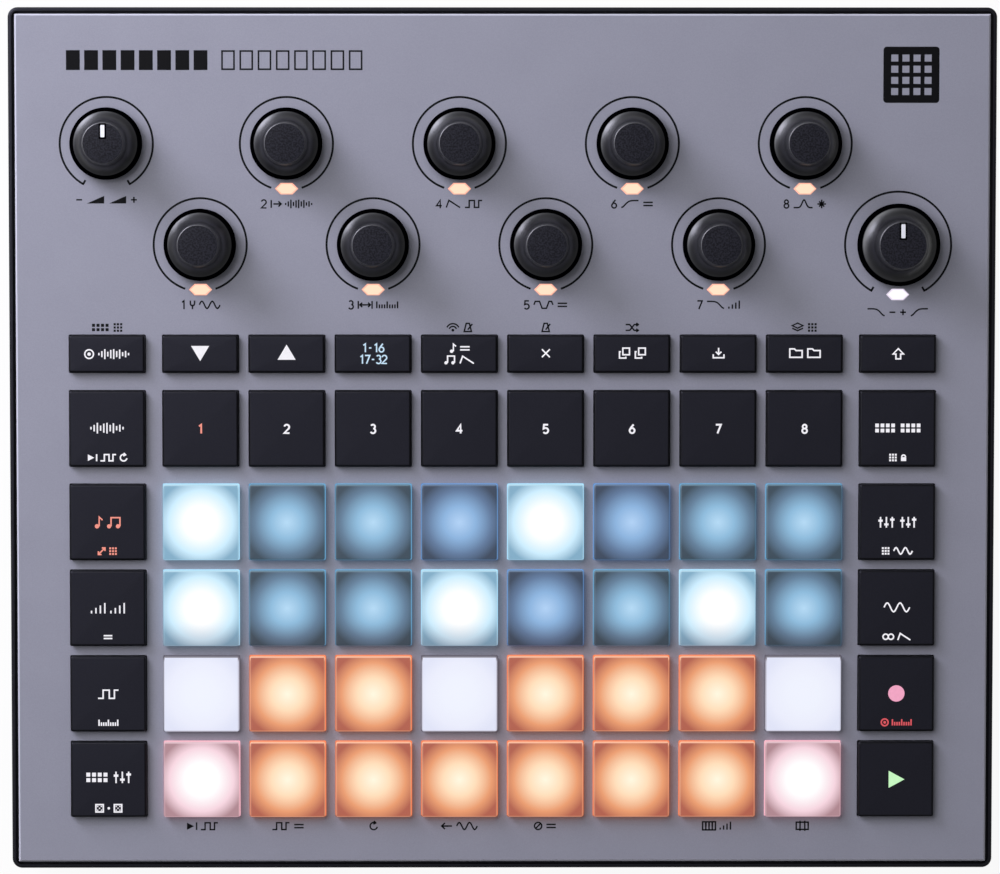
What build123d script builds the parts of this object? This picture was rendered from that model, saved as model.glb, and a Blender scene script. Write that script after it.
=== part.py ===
"""Desktop drum machine with a grid of lit pads, buttons and rotary knobs.

Millimetres, +Z up. The origin is on the desk under the middle of the body,
+X runs to the player's right and +Y to the rear, where the sockets are.
Each function makes one sub-part, and the last section writes them all.
"""
import os
from math import atan2, cos, radians, sin, tan

from build123d import *

# ---------------------------------------------------------------- body shells
BODY_W = 240.0  # left to right
BODY_D = 210.0  # front to rear
CORNER_R = 2.4  # upright outer corners
FOOT_LIFT = 2.0  # gap that the feet leave under the case
LOWER_H = 23.0  # bottom case, from its underside to the seam
UPPER_H = 6.0  # upper case, from the seam to the top of its rim
WALL = 2.2
FLOOR = 2.2
BOTTOM_EDGE_R = 1.8
RIM_EDGE_R = 0.55
SEAM_GAP = 0.35  # shadow line between the two shells
LIP_T = 1.0  # tongue of the bottom case inside the upper one
LIP_H = 1.4
LIP_CLEAR = 0.15

CASE_Z = FOOT_LIFT
FLOOR_Z = CASE_Z + FLOOR
SEAM_Z = CASE_Z + LOWER_H
TOP_Z = SEAM_Z + UPPER_H

# ------------------------------------------------------------------ top panel
RIM_W = 0.9
PANEL_GAP = 0.7
PANEL_T = 2.0
PANEL_EDGE = 0.4  # bright chamfer round the plate
LEDGE_W = 8.0  # shelf under the plate
LEDGE_T = 2.0
PANEL_W = BODY_W - 2 * (RIM_W + PANEL_GAP)
PANEL_D = BODY_D - 2 * (RIM_W + PANEL_GAP)
PANEL_UNDER = TOP_Z - PANEL_T

# ----------------------------------------------------------------- key layout
PAD_COLUMNS = 8
PAD_ROWS = 4
SIDE_MARGIN = 23.8  # side of the case to the middle of the button column
SIDE_EXTRA = 1.7  # more than the pitch from the pads to the button column beside them
FRONT_MARGIN = 22.0  # front edge to the middle of the front pads
KEY_SPACE = 2.6  # bare panel between two keys
TRACK_EXTRA = 1.8  # more than the pitch from the rear pads to the square buttons
MENU_SPACE = 4.5  # bare panel between the square and the short buttons
MENU_KEY_D = 9.0
KNOB_STEP = 26.5  # short buttons to the front knobs
KNOB_ROW_STEP = 24.5
REAR_MARGIN = 33.0  # rear knobs to the rear edge

SIDE_X = BODY_W / 2 - SIDE_MARGIN
KEY_PITCH = 2 * (SIDE_X - SIDE_EXTRA) / (PAD_COLUMNS + 1)
KNOB_REAR_Y = BODY_D / 2 - REAR_MARGIN
KNOB_FRONT_Y = KNOB_REAR_Y - KNOB_ROW_STEP
MENU_Y = KNOB_FRONT_Y - KNOB_STEP
FRONT_PAD_Y = -BODY_D / 2 + FRONT_MARGIN
KEYS_D = MENU_Y - FRONT_PAD_Y - TRACK_EXTRA - MENU_SPACE - (MENU_KEY_D - KEY_SPACE) / 2
ROW_PITCH = KEYS_D / (PAD_ROWS + 0.5)
REAR_PAD_Y = FRONT_PAD_Y + (PAD_ROWS - 1) * ROW_PITCH
TRACK_Y = REAR_PAD_Y + ROW_PITCH + TRACK_EXTRA

# ----------------------------------------------------------------------- keys
KEY_GAP = 0.2
OPENING_R = 0.4
PAD_PROUD = 2.3  # pad tops above the panel
BUTTON_PROUD = 2.2
KEY_CORNER = 0.4
KEY_EDGE = 0.45
KEY_SKIN = 1.8
KEY_WALL = 1.6
FLANGE_OUT = 0.7
FLANGE_T = 1.4
FLANGE_GAP = 0.3  # flange to the underside of the panel
PAD_TRAVEL = 0.8
BUTTON_TRAVEL = 1.2
PLUNGER_W = 3.0
PLUNGER_GAP = 0.15  # left under the plunger when the key is fully down

KEY_W = KEY_PITCH - KEY_SPACE
KEY_D = ROW_PITCH - KEY_SPACE
FLANGE_TOP = PANEL_UNDER - FLANGE_GAP
FLANGE_Z = FLANGE_TOP - FLANGE_T

# -------------------------------------------------------------- control board
BOARD_T = 1.6
BOARD_ROOM = 1.1  # under a key flange when it is fully down
BOARD_MARGIN = 9.8  # board beyond the middle of the outer keys and knobs
CONTACT_W = 5.0
CONTACT_T = 0.1
LED_W = 2.0
LED_H = 0.9
LED_OFFSET = 5.0  # beside each plunger

BOARD_TOP = FLANGE_Z - BUTTON_TRAVEL - BOARD_ROOM
BOARD_Z = BOARD_TOP - BOARD_T
BOARD_W = 2 * (SIDE_X + BOARD_MARGIN)
BOARD_FRONT_Y = FRONT_PAD_Y - BOARD_MARGIN
BOARD_REAR_Y = KNOB_REAR_Y + BOARD_MARGIN

# ---------------------------------------------------------------------- knobs
KNOB_H = 13.4
KNOB_LIFT = 0.6  # gap under the knob's skirt
KNOB_BASE_R = 8.75
KNOB_TOP_R = 5.1
FILTER_BASE_R = 10.0
FILTER_TOP_R = 5.85
SKIRT_H = 2.4
SHOULDER = 0.9
FLARE_H = 4.0  # height of the hollow curve from shoulder to grip
GRIP_TAPER = 0.25
TOP_EDGE_R = 0.35
KNOB_WALL = 1.6
KNOB_HOLLOW_H = 2.6
KNOB_ROOF = 2.4  # rubber above the end of the shaft
POINTER_W = 1.0
POINTER_L = 3.6
POINTER_DEPTH = 0.3
POINTER_INSET = 0.5
SHAFT_R = 3.0
SHAFT_FLAT = 1.5  # depth of the D flat
CAP_FIT = 0.02
SHAFT_FIT = 0.05
BUSH_R = 3.5
BUSH_PROUD = 1.8  # bushing above the panel
BUSH_CLEAR = 0.4
ROTARY_W = 12.0
ROTARY_GAP = 0.3  # control body to the underside of the panel
SHAFT_END_GAP = 0.3

KNOB_Z = TOP_Z + KNOB_LIFT
SHAFT_Z = BOARD_TOP + 2 * SHAFT_END_GAP
SHAFT_TOP = KNOB_Z + KNOB_H - KNOB_ROOF

# ---------------------------------------------------------------- light pipes
LAMP_W = 5.5
LAMP_D = 2.6
LAMP_POINT = 1.4
LAMP_GAP = 0.1
LAMP_DROP = 10.9  # knob axis to its lamp
FILTER_LAMP_DROP = 12.1
LAMP_FLANGE_OUT = 0.8
LAMP_FLANGE_T = 1.0
LAMP_LED_GAP = 0.3

# ------------------------------------------------------------ rear connectors
MAIN_BOARD_D = 58.0
MAIN_BOARD_T = 1.6
MAIN_STANDOFF = 2.8
WALL_CLEAR = 0.3  # sockets to the inside of the rear wall
NOSE_CLEAR = 0.6  # case hole round a socket's nose
NOSE_INSET = 0.4  # a jack's nose below the outer face of the wall
HOLE_DRAFT = 1.5  # degrees, round holes of the moulded rear wall narrow inwards
LINE_BORE_R = 3.25
LINE_NOSE_R = 5.4
LINE_NOSE_L = 5.1
LINE_BODY_W = 12.4
LINE_DEPTH = 34.1
LINE_BORE_L = 32.0
MINI_BORE_R = 1.85
MINI_NOSE_R = 3.2
MINI_NOSE_L = 4.1
MINI_BODY_W = 7.0
MINI_DEPTH = 19.1
MINI_BORE_L = 17.0
DIN_R = 7.0
DIN_GROOVE_OUT_R = 6.4
DIN_GROOVE_IN_R = 5.5
DIN_GROOVE_L = 7.0
DIN_NOSE_L = 3.0
DIN_BODY_W = 15.0
DIN_DEPTH = 13.0
DIN_PIN_R = 0.8
DIN_PIN_CIRCLE_R = 3.6
DIN_PIN_STEP = 45.0
DIN_PINS = 5
USB_W = 8.9
USB_H = 3.2
USB_SHELL = 0.35
USB_DEPTH = 8.0
USB_TONGUE_H = 0.7
CARD_W = 12.0
CARD_H = 2.0
CARD_SHELL = 0.4
CARD_DEPTH = 15.0
PORT_CLEAR = 0.8  # case cut-out round the small ports
REAR_STEP = BODY_W / 240  # the rear is laid out in steps of this share of its width
LINE_X = [step * REAR_STEP for step in (-97, -80, -63, -46)]
MINI_X = [step * REAR_STEP for step in (-31, 46)]
DIN_X = [step * REAR_STEP for step in (-12, 9, 30)]
CARD_X = 60 * REAR_STEP
USB_X = 77 * REAR_STEP
POWER_X = 95 * REAR_STEP
POWER_R = 3.8
POWER_CLEAR = 0.3
POWER_INSET = 0.4  # cap below the outer face of the wall
POWER_CAP_L = 3.6
POWER_STEM_W = 3.0
POWER_STEM_L = 5.0
POWER_STEM_CLEAR = 0.25
POWER_TRAVEL = 1.0
POWER_SWITCH_W = 8.0
POWER_SWITCH_L = 8.0

MAIN_Z = FLOOR_Z + MAIN_STANDOFF
MAIN_TOP = MAIN_Z + MAIN_BOARD_T
SOCKET_Z = MAIN_TOP + DIN_R + 0.1
REAR_Y = BODY_D / 2
FACE_Y = REAR_Y - WALL - WALL_CLEAR
NOSE_Y = REAR_Y - NOSE_INSET
MAIN_REAR_Y = FACE_Y - DIN_NOSE_L
MAIN_FRONT_Y = MAIN_REAR_Y - MAIN_BOARD_D
CHIP_SIZES = (14.0, 11.0, 9.0)
CHIP_H = 1.3
CAPACITOR_R = 3.0
CAPACITOR_H = 7.0
CHIP_ROW = 14.0  # front edge of the main board to the row of its largest parts

# ------------------------------------------------------------ battery, screws
BATTERY_W = 92.0
BATTERY_D = 58.0
BATTERY_H = 8.0
BATTERY_Y = -34.0
BATTERY_EDGE_R = 2.0
FENCE_GAP = 0.5
FENCE_T = 1.4
FENCE_H = 5.0
SCREW_INSET_X = 8.5
SCREW_INSET_Y = 8.0
BOARD_BOSS_GAP = 2.9  # main board to the screw bosses
SCREW_R = 1.4
SCREW_L = 15.0
HEAD_R = 2.6
HEAD_H = 1.8
HEAD_SINK = 5.0  # underside of the case to the seat of the head
HEAD_CLEAR = 0.4
DRIVE_W = 1.0
DRIVE_DEPTH = 0.9
PILOT_GAP = 0.05
SHANK_GAP = 0.3
LOWER_BOSS_R = 4.6
UPPER_BOSS_R = 3.4
BOSS_MEET = 9.8  # floor to the joint between the bosses
BOSS_GAP = 0.2
POST_R = 3.0
POST_X = 84.0
POST_Y = (-66.0, 8.0)
STANDOFF_R = 2.6
STANDOFF_INSET = 5.0
FOOT_R = 7.0
FOOT_SINK = 1.0
FOOT_CLEAR = 0.1
FOOT_INSET = 22.0
FOOT_EDGE_R = 0.6

BOSS_Z = FLOOR_Z + BOSS_MEET
MAIN_BOARD_W = BODY_W - 2 * (SCREW_INSET_X + LOWER_BOSS_R + BOARD_BOSS_GAP)

UPRIGHT = (Align.CENTER, Align.CENTER, Align.MIN)


# ------------------------------------------------------------- simple helpers
def block(width, depth, low, high, x=0.0, y=0.0):
    """Upright box between two heights, centred on x, y."""
    return Pos(x, y, low) * Box(width, depth, high - low, align=UPRIGHT)


def slab(width, depth, corner, low, high, x=0.0, y=0.0):
    """Upright plate with rounded corners between two heights."""
    return Pos(x, y, low) * extrude(RectangleRounded(width, depth, corner), high - low)


def post(radius, low, high, x=0.0, y=0.0):
    """Upright cylinder between two heights."""
    return Pos(x, y, low) * Cylinder(radius, high - low, align=UPRIGHT)


def rod(radius, face_y, length, x, z):
    """Cylinder that runs forward from a face turned to the rear."""
    return Pos(x, face_y, z) * Rot(90, 0, 0) * Cylinder(radius, length, align=UPRIGHT)


def drafted(radius, y, length, x, z):
    """Round hole cutter from y towards the front that narrows by the moulding draft."""
    inner = radius - length * tan(radians(HOLE_DRAFT))
    return Pos(x, y, z) * Rot(90, 0, 0) * Cone(radius, inner, length, align=UPRIGHT)


def box_behind(width, height, face_y, length, x, z):
    """Box that runs forward from a face turned to the rear, centred on x, z."""
    return Pos(x, face_y - length / 2, z) * Box(width, length, height)


def mirrored(x, y):
    """The four places at plus and minus x and y."""
    return [(side * x, end * y) for side in (-1, 1) for end in (-1, 1)]


# --------------------------------------------------------------------- places
def column_x(column):
    """Middle of a pad column, counted from 0 at the left."""
    return (column - (PAD_COLUMNS - 1) / 2) * KEY_PITCH


def pad_y(row):
    """Middle of a pad row, counted from 0 at the rear."""
    return REAR_PAD_Y - row * ROW_PITCH


def pad_places():
    """Name, x and y of every pad."""
    return [
        (f"pad_{row + 1}_{column + 1}", column_x(column), pad_y(row))
        for row in range(PAD_ROWS)
        for column in range(PAD_COLUMNS)
    ]


def side_places(x):
    """Middle and depth of the buttons in one side column, from the rear."""
    rows = [(x, MENU_Y, MENU_KEY_D), (x, TRACK_Y, KEY_D)]
    return rows + [(x, pad_y(row), KEY_D) for row in range(PAD_ROWS)]


def button_groups():
    """Middle and depth of every button, by the strip that it belongs to."""
    return {
        "left_buttons": side_places(-SIDE_X),
        "right_buttons": side_places(SIDE_X),
        "menu_buttons": [(column_x(c), MENU_Y, MENU_KEY_D) for c in range(PAD_COLUMNS)],
        "track_buttons": [(column_x(c), TRACK_Y, KEY_D) for c in range(PAD_COLUMNS)],
    }


def key_places():
    """Middle and depth of every opening in the panel."""
    places = [(x, y, KEY_D) for _, x, y in pad_places()]
    for group in button_groups().values():
        places += group
    return places


def encoder_places():
    """Name, x and y of the endless knobs, which zigzag over two rows."""
    return [
        (f"macro_knob_{i + 1}", column_x(i), KNOB_REAR_Y if i % 2 else KNOB_FRONT_Y)
        for i in range(PAD_COLUMNS)
    ]


VOLUME_PLACE = ("volume_knob", -SIDE_X, KNOB_REAR_Y)
FILTER_PLACE = ("filter_knob", SIDE_X, KNOB_FRONT_Y)


def knob_places():
    """Name, x and y of all the knobs."""
    return [VOLUME_PLACE] + encoder_places() + [FILTER_PLACE]


def lamp_places():
    """Middle of each lamp window in front of a knob."""
    lamps = [(x, y - LAMP_DROP) for _, x, y in encoder_places()]
    return lamps + [(FILTER_PLACE[1], FILTER_PLACE[2] - FILTER_LAMP_DROP)]


def screw_places():
    """Four corner screws and one in the middle of each side."""
    x = BODY_W / 2 - SCREW_INSET_X
    y = BODY_D / 2 - SCREW_INSET_Y
    return mirrored(x, y) + [(-x, 0.0), (x, 0.0)]


def post_places():
    """Posts of the bottom case that carry the control board."""
    return [(side * POST_X, y) for side in (-1, 1) for y in POST_Y]


def standoff_places():
    """Low standoffs under the corners of the main board."""
    middle_y = (MAIN_FRONT_Y + MAIN_REAR_Y) / 2
    x = MAIN_BOARD_W / 2 - STANDOFF_INSET
    y = MAIN_BOARD_D / 2 - STANDOFF_INSET
    return [(px, middle_y + py) for px, py in mirrored(x, y)]


def foot_places():
    """Middles of the four feet."""
    return mirrored(BODY_W / 2 - FOOT_INSET, BODY_D / 2 - FOOT_INSET)


# ------------------------------------------------------------- moulded shells
def rear_cutouts():
    """Everything that is cut through the rear wall, long enough to clear it."""
    reach = WALL + LIP_T + 1.0
    start = REAR_Y + 1.0
    cuts = [drafted(LINE_NOSE_R + NOSE_CLEAR, start, reach, x, SOCKET_Z) for x in LINE_X]
    cuts += [drafted(MINI_NOSE_R + NOSE_CLEAR, start, reach, x, SOCKET_Z) for x in MINI_X]
    cuts += [drafted(DIN_R + NOSE_CLEAR, start, reach, x, SOCKET_Z) for x in DIN_X]
    cuts.append(rod(POWER_R + POWER_CLEAR, start, reach, POWER_X, SOCKET_Z))
    usb_w = USB_W + 2 * PORT_CLEAR
    usb_h = USB_H + 2 * PORT_CLEAR
    card_w = CARD_W + 2 * PORT_CLEAR
    card_h = CARD_H + 2 * PORT_CLEAR
    cuts.append(port_shape(usb_w, usb_h, usb_h / 2.2, start, reach, USB_X, MAIN_TOP + USB_H / 2))
    cuts.append(port_shape(card_w, card_h, 0.5, start, reach, CARD_X, MAIN_TOP + CARD_H / 2))
    return cuts


def port_shape(width, height, corner, face_y, length, x, z):
    """Rounded rectangle turned to the rear, carried forward from its face."""
    outline = Pos(x, face_y, z) * Rot(90, 0, 0) * RectangleRounded(width, height, corner)
    return extrude(outline, length)


def bottom_case():
    """Tray with the floor, the walls, all bosses and the connector cut-outs."""
    outer = slab(BODY_W, BODY_D, CORNER_R, CASE_Z, SEAM_Z)
    outer = fillet(outer.faces().sort_by(Axis.Z)[0].edges(), BOTTOM_EDGE_R)
    inside_w = BODY_W - 2 * WALL
    inside_d = BODY_D - 2 * WALL
    lip = slab(inside_w + 2 * LIP_T, inside_d + 2 * LIP_T, CORNER_R / 2, FLOOR_Z, SEAM_Z + LIP_H)
    inside_r = max(CORNER_R - WALL, 0.3)
    hollow = slab(inside_w, inside_d, inside_r, FLOOR_Z, SEAM_Z + LIP_H)
    case = outer + lip - hollow
    fence_w = BATTERY_W + 2 * FENCE_GAP
    fence_d = BATTERY_D + 2 * FENCE_GAP
    fence = block(fence_w + 2 * FENCE_T, fence_d + 2 * FENCE_T, FLOOR_Z, FLOOR_Z + FENCE_H, 0, BATTERY_Y)
    fence -= block(fence_w, fence_d, FLOOR_Z, FLOOR_Z + FENCE_H, 0, BATTERY_Y)
    adds = [post(LOWER_BOSS_R, FLOOR_Z, BOSS_Z, x, y) for x, y in screw_places()]
    adds += [post(POST_R, FLOOR_Z, BOARD_Z, x, y) for x, y in post_places()]
    adds += [post(STANDOFF_R, FLOOR_Z, MAIN_Z, x, y) for x, y in standoff_places()]
    case = case + [fence] + adds
    seat = CASE_Z + HEAD_SINK
    cuts = [post(HEAD_R + HEAD_CLEAR, CASE_Z, seat, x, y) for x, y in screw_places()]
    cuts += [post(SCREW_R + SHANK_GAP, CASE_Z, BOSS_Z, x, y) for x, y in screw_places()]
    cuts += [post(FOOT_R + FOOT_CLEAR, CASE_Z, CASE_Z + FOOT_SINK, x, y) for x, y in foot_places()]
    return case - cuts - rear_cutouts()


def upper_case():
    """Frame round the panel, with its shelf and the upper screw bosses."""
    rim_low = SEAM_Z + SEAM_GAP
    outer = slab(BODY_W, BODY_D, CORNER_R, rim_low, TOP_Z)
    outer = fillet(outer.faces().sort_by(Axis.Z)[-1].edges(), RIM_EDGE_R)
    recess_w = BODY_W - 2 * RIM_W
    recess_d = BODY_D - 2 * RIM_W
    recess_r = max(CORNER_R - RIM_W, 0.3)
    ledge_z = PANEL_UNDER - LEDGE_T
    tongue_w = BODY_W - 2 * WALL + 2 * (LIP_T + LIP_CLEAR)
    tongue_d = BODY_D - 2 * WALL + 2 * (LIP_T + LIP_CLEAR)
    frame = outer - slab(recess_w, recess_d, recess_r, PANEL_UNDER, TOP_Z)
    frame -= slab(tongue_w, tongue_d, CORNER_R / 2, rim_low, SEAM_Z + LIP_H + LIP_CLEAR)
    inside_w = BODY_W - 2 * WALL
    inside_d = BODY_D - 2 * WALL
    frame -= slab(inside_w, inside_d, max(CORNER_R - WALL, 0.3), rim_low, ledge_z)
    frame -= block(PANEL_W - 2 * LEDGE_W, PANEL_D - 2 * LEDGE_W, ledge_z, PANEL_UNDER)
    bosses = [post(UPPER_BOSS_R, BOSS_Z + BOSS_GAP, ledge_z, x, y) for x, y in screw_places()]
    pilots = [
        post(SCREW_R + PILOT_GAP, BOSS_Z + BOSS_GAP, ledge_z, x, y) for x, y in screw_places()
    ]
    return frame + bosses - pilots


def lamp_outline(grow=0.0):
    """Stretched hexagon of a lamp window, grown by a margin on every side."""
    half_w = LAMP_W / 2 + grow
    half_d = LAMP_D / 2 + grow
    flat = half_w - LAMP_POINT
    return Polygon(
        (half_w, 0), (flat, half_d), (-flat, half_d), (-half_w, 0), (-flat, -half_d), (flat, -half_d),
        align=None,
    )


def top_panel():
    """Metal plate with an opening for every key, shaft and lamp."""
    plate = Rectangle(PANEL_W, PANEL_D)
    holes = [
        Pos(x, y) * RectangleRounded(KEY_W + 2 * KEY_GAP, depth + 2 * KEY_GAP, OPENING_R)
        for x, y, depth in key_places()
    ]
    holes += [Pos(x, y) * Circle(BUSH_R + BUSH_CLEAR) for _, x, y in knob_places()]
    holes += [Pos(x, y) * lamp_outline(LAMP_GAP) for x, y in lamp_places()]
    solid = extrude(Pos(0, 0, PANEL_UNDER) * plate, PANEL_T)
    solid = chamfer(solid.faces().sort_by(Axis.Z)[-1].edges(), PANEL_EDGE)
    return solid - [extrude(Pos(0, 0, PANEL_UNDER) * hole, PANEL_T) for hole in holes]


# ----------------------------------------------------------------------- keys
def key(depth, proud, travel):
    """Hollow key at the origin: cap through the panel, flange under it, plunger."""
    top = TOP_Z + proud
    cap = block(KEY_W, depth, FLANGE_Z, top)
    cap = chamfer(cap.edges().filter_by(Axis.Z), KEY_CORNER)
    cap = chamfer(cap.faces().sort_by(Axis.Z)[-1].edges(), KEY_EDGE)
    flange = block(KEY_W + 2 * FLANGE_OUT, depth + 2 * FLANGE_OUT, FLANGE_Z, FLANGE_TOP)
    hollow = block(KEY_W - 2 * KEY_WALL, depth - 2 * KEY_WALL, FLANGE_Z, top - KEY_SKIN)
    foot = BOARD_TOP + CONTACT_T + travel + PLUNGER_GAP
    return cap + flange - hollow + block(PLUNGER_W, PLUNGER_W, foot, top - KEY_SKIN)


def button_strip(places):
    """The buttons of one strip as separate keys."""
    keys = {}
    strip = []
    for x, y, depth in places:
        if depth not in keys:
            keys[depth] = key(depth, BUTTON_PROUD, BUTTON_TRAVEL)
        strip.append(Pos(x, y, 0) * keys[depth])
    return Compound(children=strip)


# ---------------------------------------------------------------------- knobs
def knob_profile(base_r, top_r):
    """Outside of a knob on the XZ plane: skirt, shoulder, flare, grip and flat top."""
    top = KNOB_H
    low_flare = (base_r - SHOULDER, SKIRT_H + SHOULDER)
    high_flare = (top_r + GRIP_TAPER, low_flare[1] + FLARE_H)
    wide = low_flare[0] - high_flare[0]
    bend = (wide**2 + FLARE_H**2) / (2 * wide)  # the flare leaves the grip upright
    half = atan2(FLARE_H, bend - wide) / 2
    middle = (high_flare[0] + bend * (1 - cos(half)), high_flare[1] - bend * sin(half))
    corner = (top_r - 0.3 * TOP_EDGE_R, top - 0.3 * TOP_EDGE_R)
    shoulder = (base_r - 0.3 * SHOULDER, SKIRT_H + 0.7 * SHOULDER)
    edges = [
        Line((0, 0), (base_r, 0)),
        Line((base_r, 0), (base_r, SKIRT_H)),
        ThreePointArc((base_r, SKIRT_H), shoulder, low_flare),
        ThreePointArc(low_flare, middle, high_flare),
        Line(high_flare, (top_r, top - TOP_EDGE_R)),
        ThreePointArc((top_r, top - TOP_EDGE_R), corner, (top_r - TOP_EDGE_R, top)),
        Line((top_r - TOP_EDGE_R, top), (0, top)),
        Line((0, top), (0, 0)),
    ]
    return Plane.XZ * make_face(edges)


def d_shaft(radius, low, high, flat_low):
    """Round shaft whose upper end has a flat on its front side."""
    shaft = post(radius, low, high)
    flat_y = -(SHAFT_R - SHAFT_FLAT) - (radius - SHAFT_R)
    return shaft - block(2 * radius + 1, 2 * radius, flat_low, high + 1, 0, flat_y - radius)


def knob(base_r, top_r, pointer, x, y):
    """Rubber cap and its steel shaft, turned about the upright axis at x, y."""
    cap = Pos(0, 0, KNOB_Z) * revolve(knob_profile(base_r, top_r), Axis.Z)
    hollow_top = KNOB_Z + KNOB_HOLLOW_H
    cap -= post(base_r - KNOB_WALL, KNOB_Z, hollow_top)
    cap -= d_shaft(SHAFT_R + CAP_FIT, KNOB_Z, SHAFT_TOP + CAP_FIT, hollow_top)
    if pointer:
        top = KNOB_Z + KNOB_H
        middle = top_r - POINTER_INSET - POINTER_L / 2
        cap -= block(POINTER_W, POINTER_L, top - POINTER_DEPTH, top, 0, middle)
    shaft = d_shaft(SHAFT_R, SHAFT_Z, SHAFT_TOP, hollow_top)
    return Compound(children=[Pos(x, y, 0) * piece for piece in (cap, shaft)])


def rotary_control():
    """Encoder or potentiometer body with its bushing, standing on the board."""
    body_top = PANEL_UNDER - ROTARY_GAP
    body = block(ROTARY_W, ROTARY_W, BOARD_TOP, body_top)
    bush = post(BUSH_R, body_top, TOP_Z + BUSH_PROUD)
    bore = post(SHAFT_R + SHAFT_FIT, SHAFT_Z - SHAFT_END_GAP, TOP_Z + BUSH_PROUD)
    return body + bush - bore


def rotary_controls():
    """One control body under each knob."""
    control = rotary_control()
    return Compound(children=[Pos(x, y, 0) * control for _, x, y in knob_places()])


def light_pipes():
    """Clear windows, flush with the panel, each held by a flange under it."""
    foot = BOARD_TOP + LED_H + LAMP_LED_GAP
    window = extrude(Pos(0, 0, foot) * lamp_outline(), TOP_Z - foot)
    low = PANEL_UNDER - LAMP_FLANGE_T
    flange = extrude(Pos(0, 0, low) * lamp_outline(LAMP_FLANGE_OUT), LAMP_FLANGE_T)
    pipe = window + flange
    return Compound(children=[Pos(x, y, 0) * pipe for x, y in lamp_places()])


# -------------------------------------------------------------- inside pieces
def control_board():
    """Board under the keys, with a contact and an LED for each of them."""
    depth = BOARD_REAR_Y - BOARD_FRONT_Y
    middle_y = (BOARD_REAR_Y + BOARD_FRONT_Y) / 2
    board = block(BOARD_W, depth, BOARD_Z, BOARD_TOP, 0, middle_y)
    fitted = []
    for x, y, _ in key_places():
        fitted.append(block(CONTACT_W, CONTACT_W, BOARD_TOP, BOARD_TOP + CONTACT_T, x, y))
        fitted.append(block(LED_W, LED_W, BOARD_TOP, BOARD_TOP + LED_H, x + LED_OFFSET, y))
    fitted += [block(LED_W, LED_W, BOARD_TOP, BOARD_TOP + LED_H, x, y) for x, y in lamp_places()]
    return board + fitted


def main_board():
    """Rear board with its largest components and the body of the power switch."""
    middle_y = (MAIN_FRONT_Y + MAIN_REAR_Y) / 2
    board = block(MAIN_BOARD_W, MAIN_BOARD_D, MAIN_Z, MAIN_TOP, 0, middle_y)
    chip_y = MAIN_FRONT_Y + CHIP_ROW
    parts = [
        block(size, size, MAIN_TOP, MAIN_TOP + CHIP_H, (i - 0.7) * MAIN_BOARD_W / 7, chip_y)
        for i, size in enumerate(CHIP_SIZES)
    ]
    places = [MAIN_BOARD_W / 2 - (i + 2.5) * 3 * CAPACITOR_R for i in range(3)]
    parts += [post(CAPACITOR_R, MAIN_TOP, MAIN_TOP + CAPACITOR_H, x, chip_y) for x in places]
    return Compound(children=[board + parts, power_switch()])


def power_switch():
    """Switch body that the power button's stem slides into."""
    front = REAR_Y - POWER_INSET - POWER_CAP_L - POWER_TRAVEL - 0.4
    high = SOCKET_Z + POWER_SWITCH_W / 2 - MAIN_TOP
    body = box_behind(POWER_SWITCH_W, high, front, POWER_SWITCH_L, POWER_X, MAIN_TOP + high / 2)
    hole = POWER_STEM_W + 2 * POWER_STEM_CLEAR
    return body - box_behind(hole, hole, front, POWER_STEM_L, POWER_X, SOCKET_Z)


def power_button():
    """Round cap, set a little below the wall, with a square stem."""
    cap = rod(POWER_R, REAR_Y - POWER_INSET, POWER_CAP_L, POWER_X, SOCKET_Z)
    cap = chamfer(cap.faces().sort_by(Axis.Y)[-1].edges(), 0.4)
    stem_y = REAR_Y - POWER_INSET - POWER_CAP_L
    return cap + box_behind(POWER_STEM_W, POWER_STEM_W, stem_y, POWER_STEM_L, POWER_X, SOCKET_Z)


def jack(bore_r, nose_r, nose_l, width, depth, bore_l, x):
    """Jack socket: round nose through the wall's hole, and a body down to the board."""
    high = SOCKET_Z + width / 2 - MAIN_TOP
    body = box_behind(width, high, NOSE_Y - nose_l, depth - nose_l, x, MAIN_TOP + high / 2)
    nose = rod(nose_r, NOSE_Y, nose_l, x, SOCKET_Z)
    return body + nose - rod(bore_r, NOSE_Y, bore_l, x, SOCKET_Z)


def jack_sockets():
    """Line sockets for 6.35 mm plugs and small ones for 3.5 mm plugs."""
    line = [LINE_BORE_R, LINE_NOSE_R, LINE_NOSE_L, LINE_BODY_W, LINE_DEPTH, LINE_BORE_L]
    mini = [MINI_BORE_R, MINI_NOSE_R, MINI_NOSE_L, MINI_BODY_W, MINI_DEPTH, MINI_BORE_L]
    solids = [jack(*line, x) for x in LINE_X] + [jack(*mini, x) for x in MINI_X]
    return Compound(children=solids)


def midi_socket(x):
    """Five-pin round socket with its ring groove, pin holes and key notch."""
    high = SOCKET_Z + DIN_R - MAIN_TOP
    body_y = FACE_Y - DIN_NOSE_L
    body = box_behind(DIN_BODY_W, high, body_y, DIN_DEPTH - DIN_NOSE_L, x, MAIN_TOP + high / 2)
    socket = body + rod(DIN_R, FACE_Y, DIN_NOSE_L, x, SOCKET_Z)
    groove = rod(DIN_GROOVE_OUT_R, FACE_Y, DIN_GROOVE_L, x, SOCKET_Z)
    groove -= rod(DIN_GROOVE_IN_R, FACE_Y, DIN_GROOVE_L, x, SOCKET_Z)
    socket -= groove
    centre = Pos(x, FACE_Y, SOCKET_Z)
    for i in range(DIN_PINS):
        turn = Rot(0, (i - (DIN_PINS - 1) / 2) * DIN_PIN_STEP, 0)
        hole = Rot(90, 0, 0) * Cylinder(DIN_PIN_R, DIN_GROOVE_L, align=UPRIGHT)
        socket -= centre * turn * Pos(0, 0, -DIN_PIN_CIRCLE_R) * hole
    return socket


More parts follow.
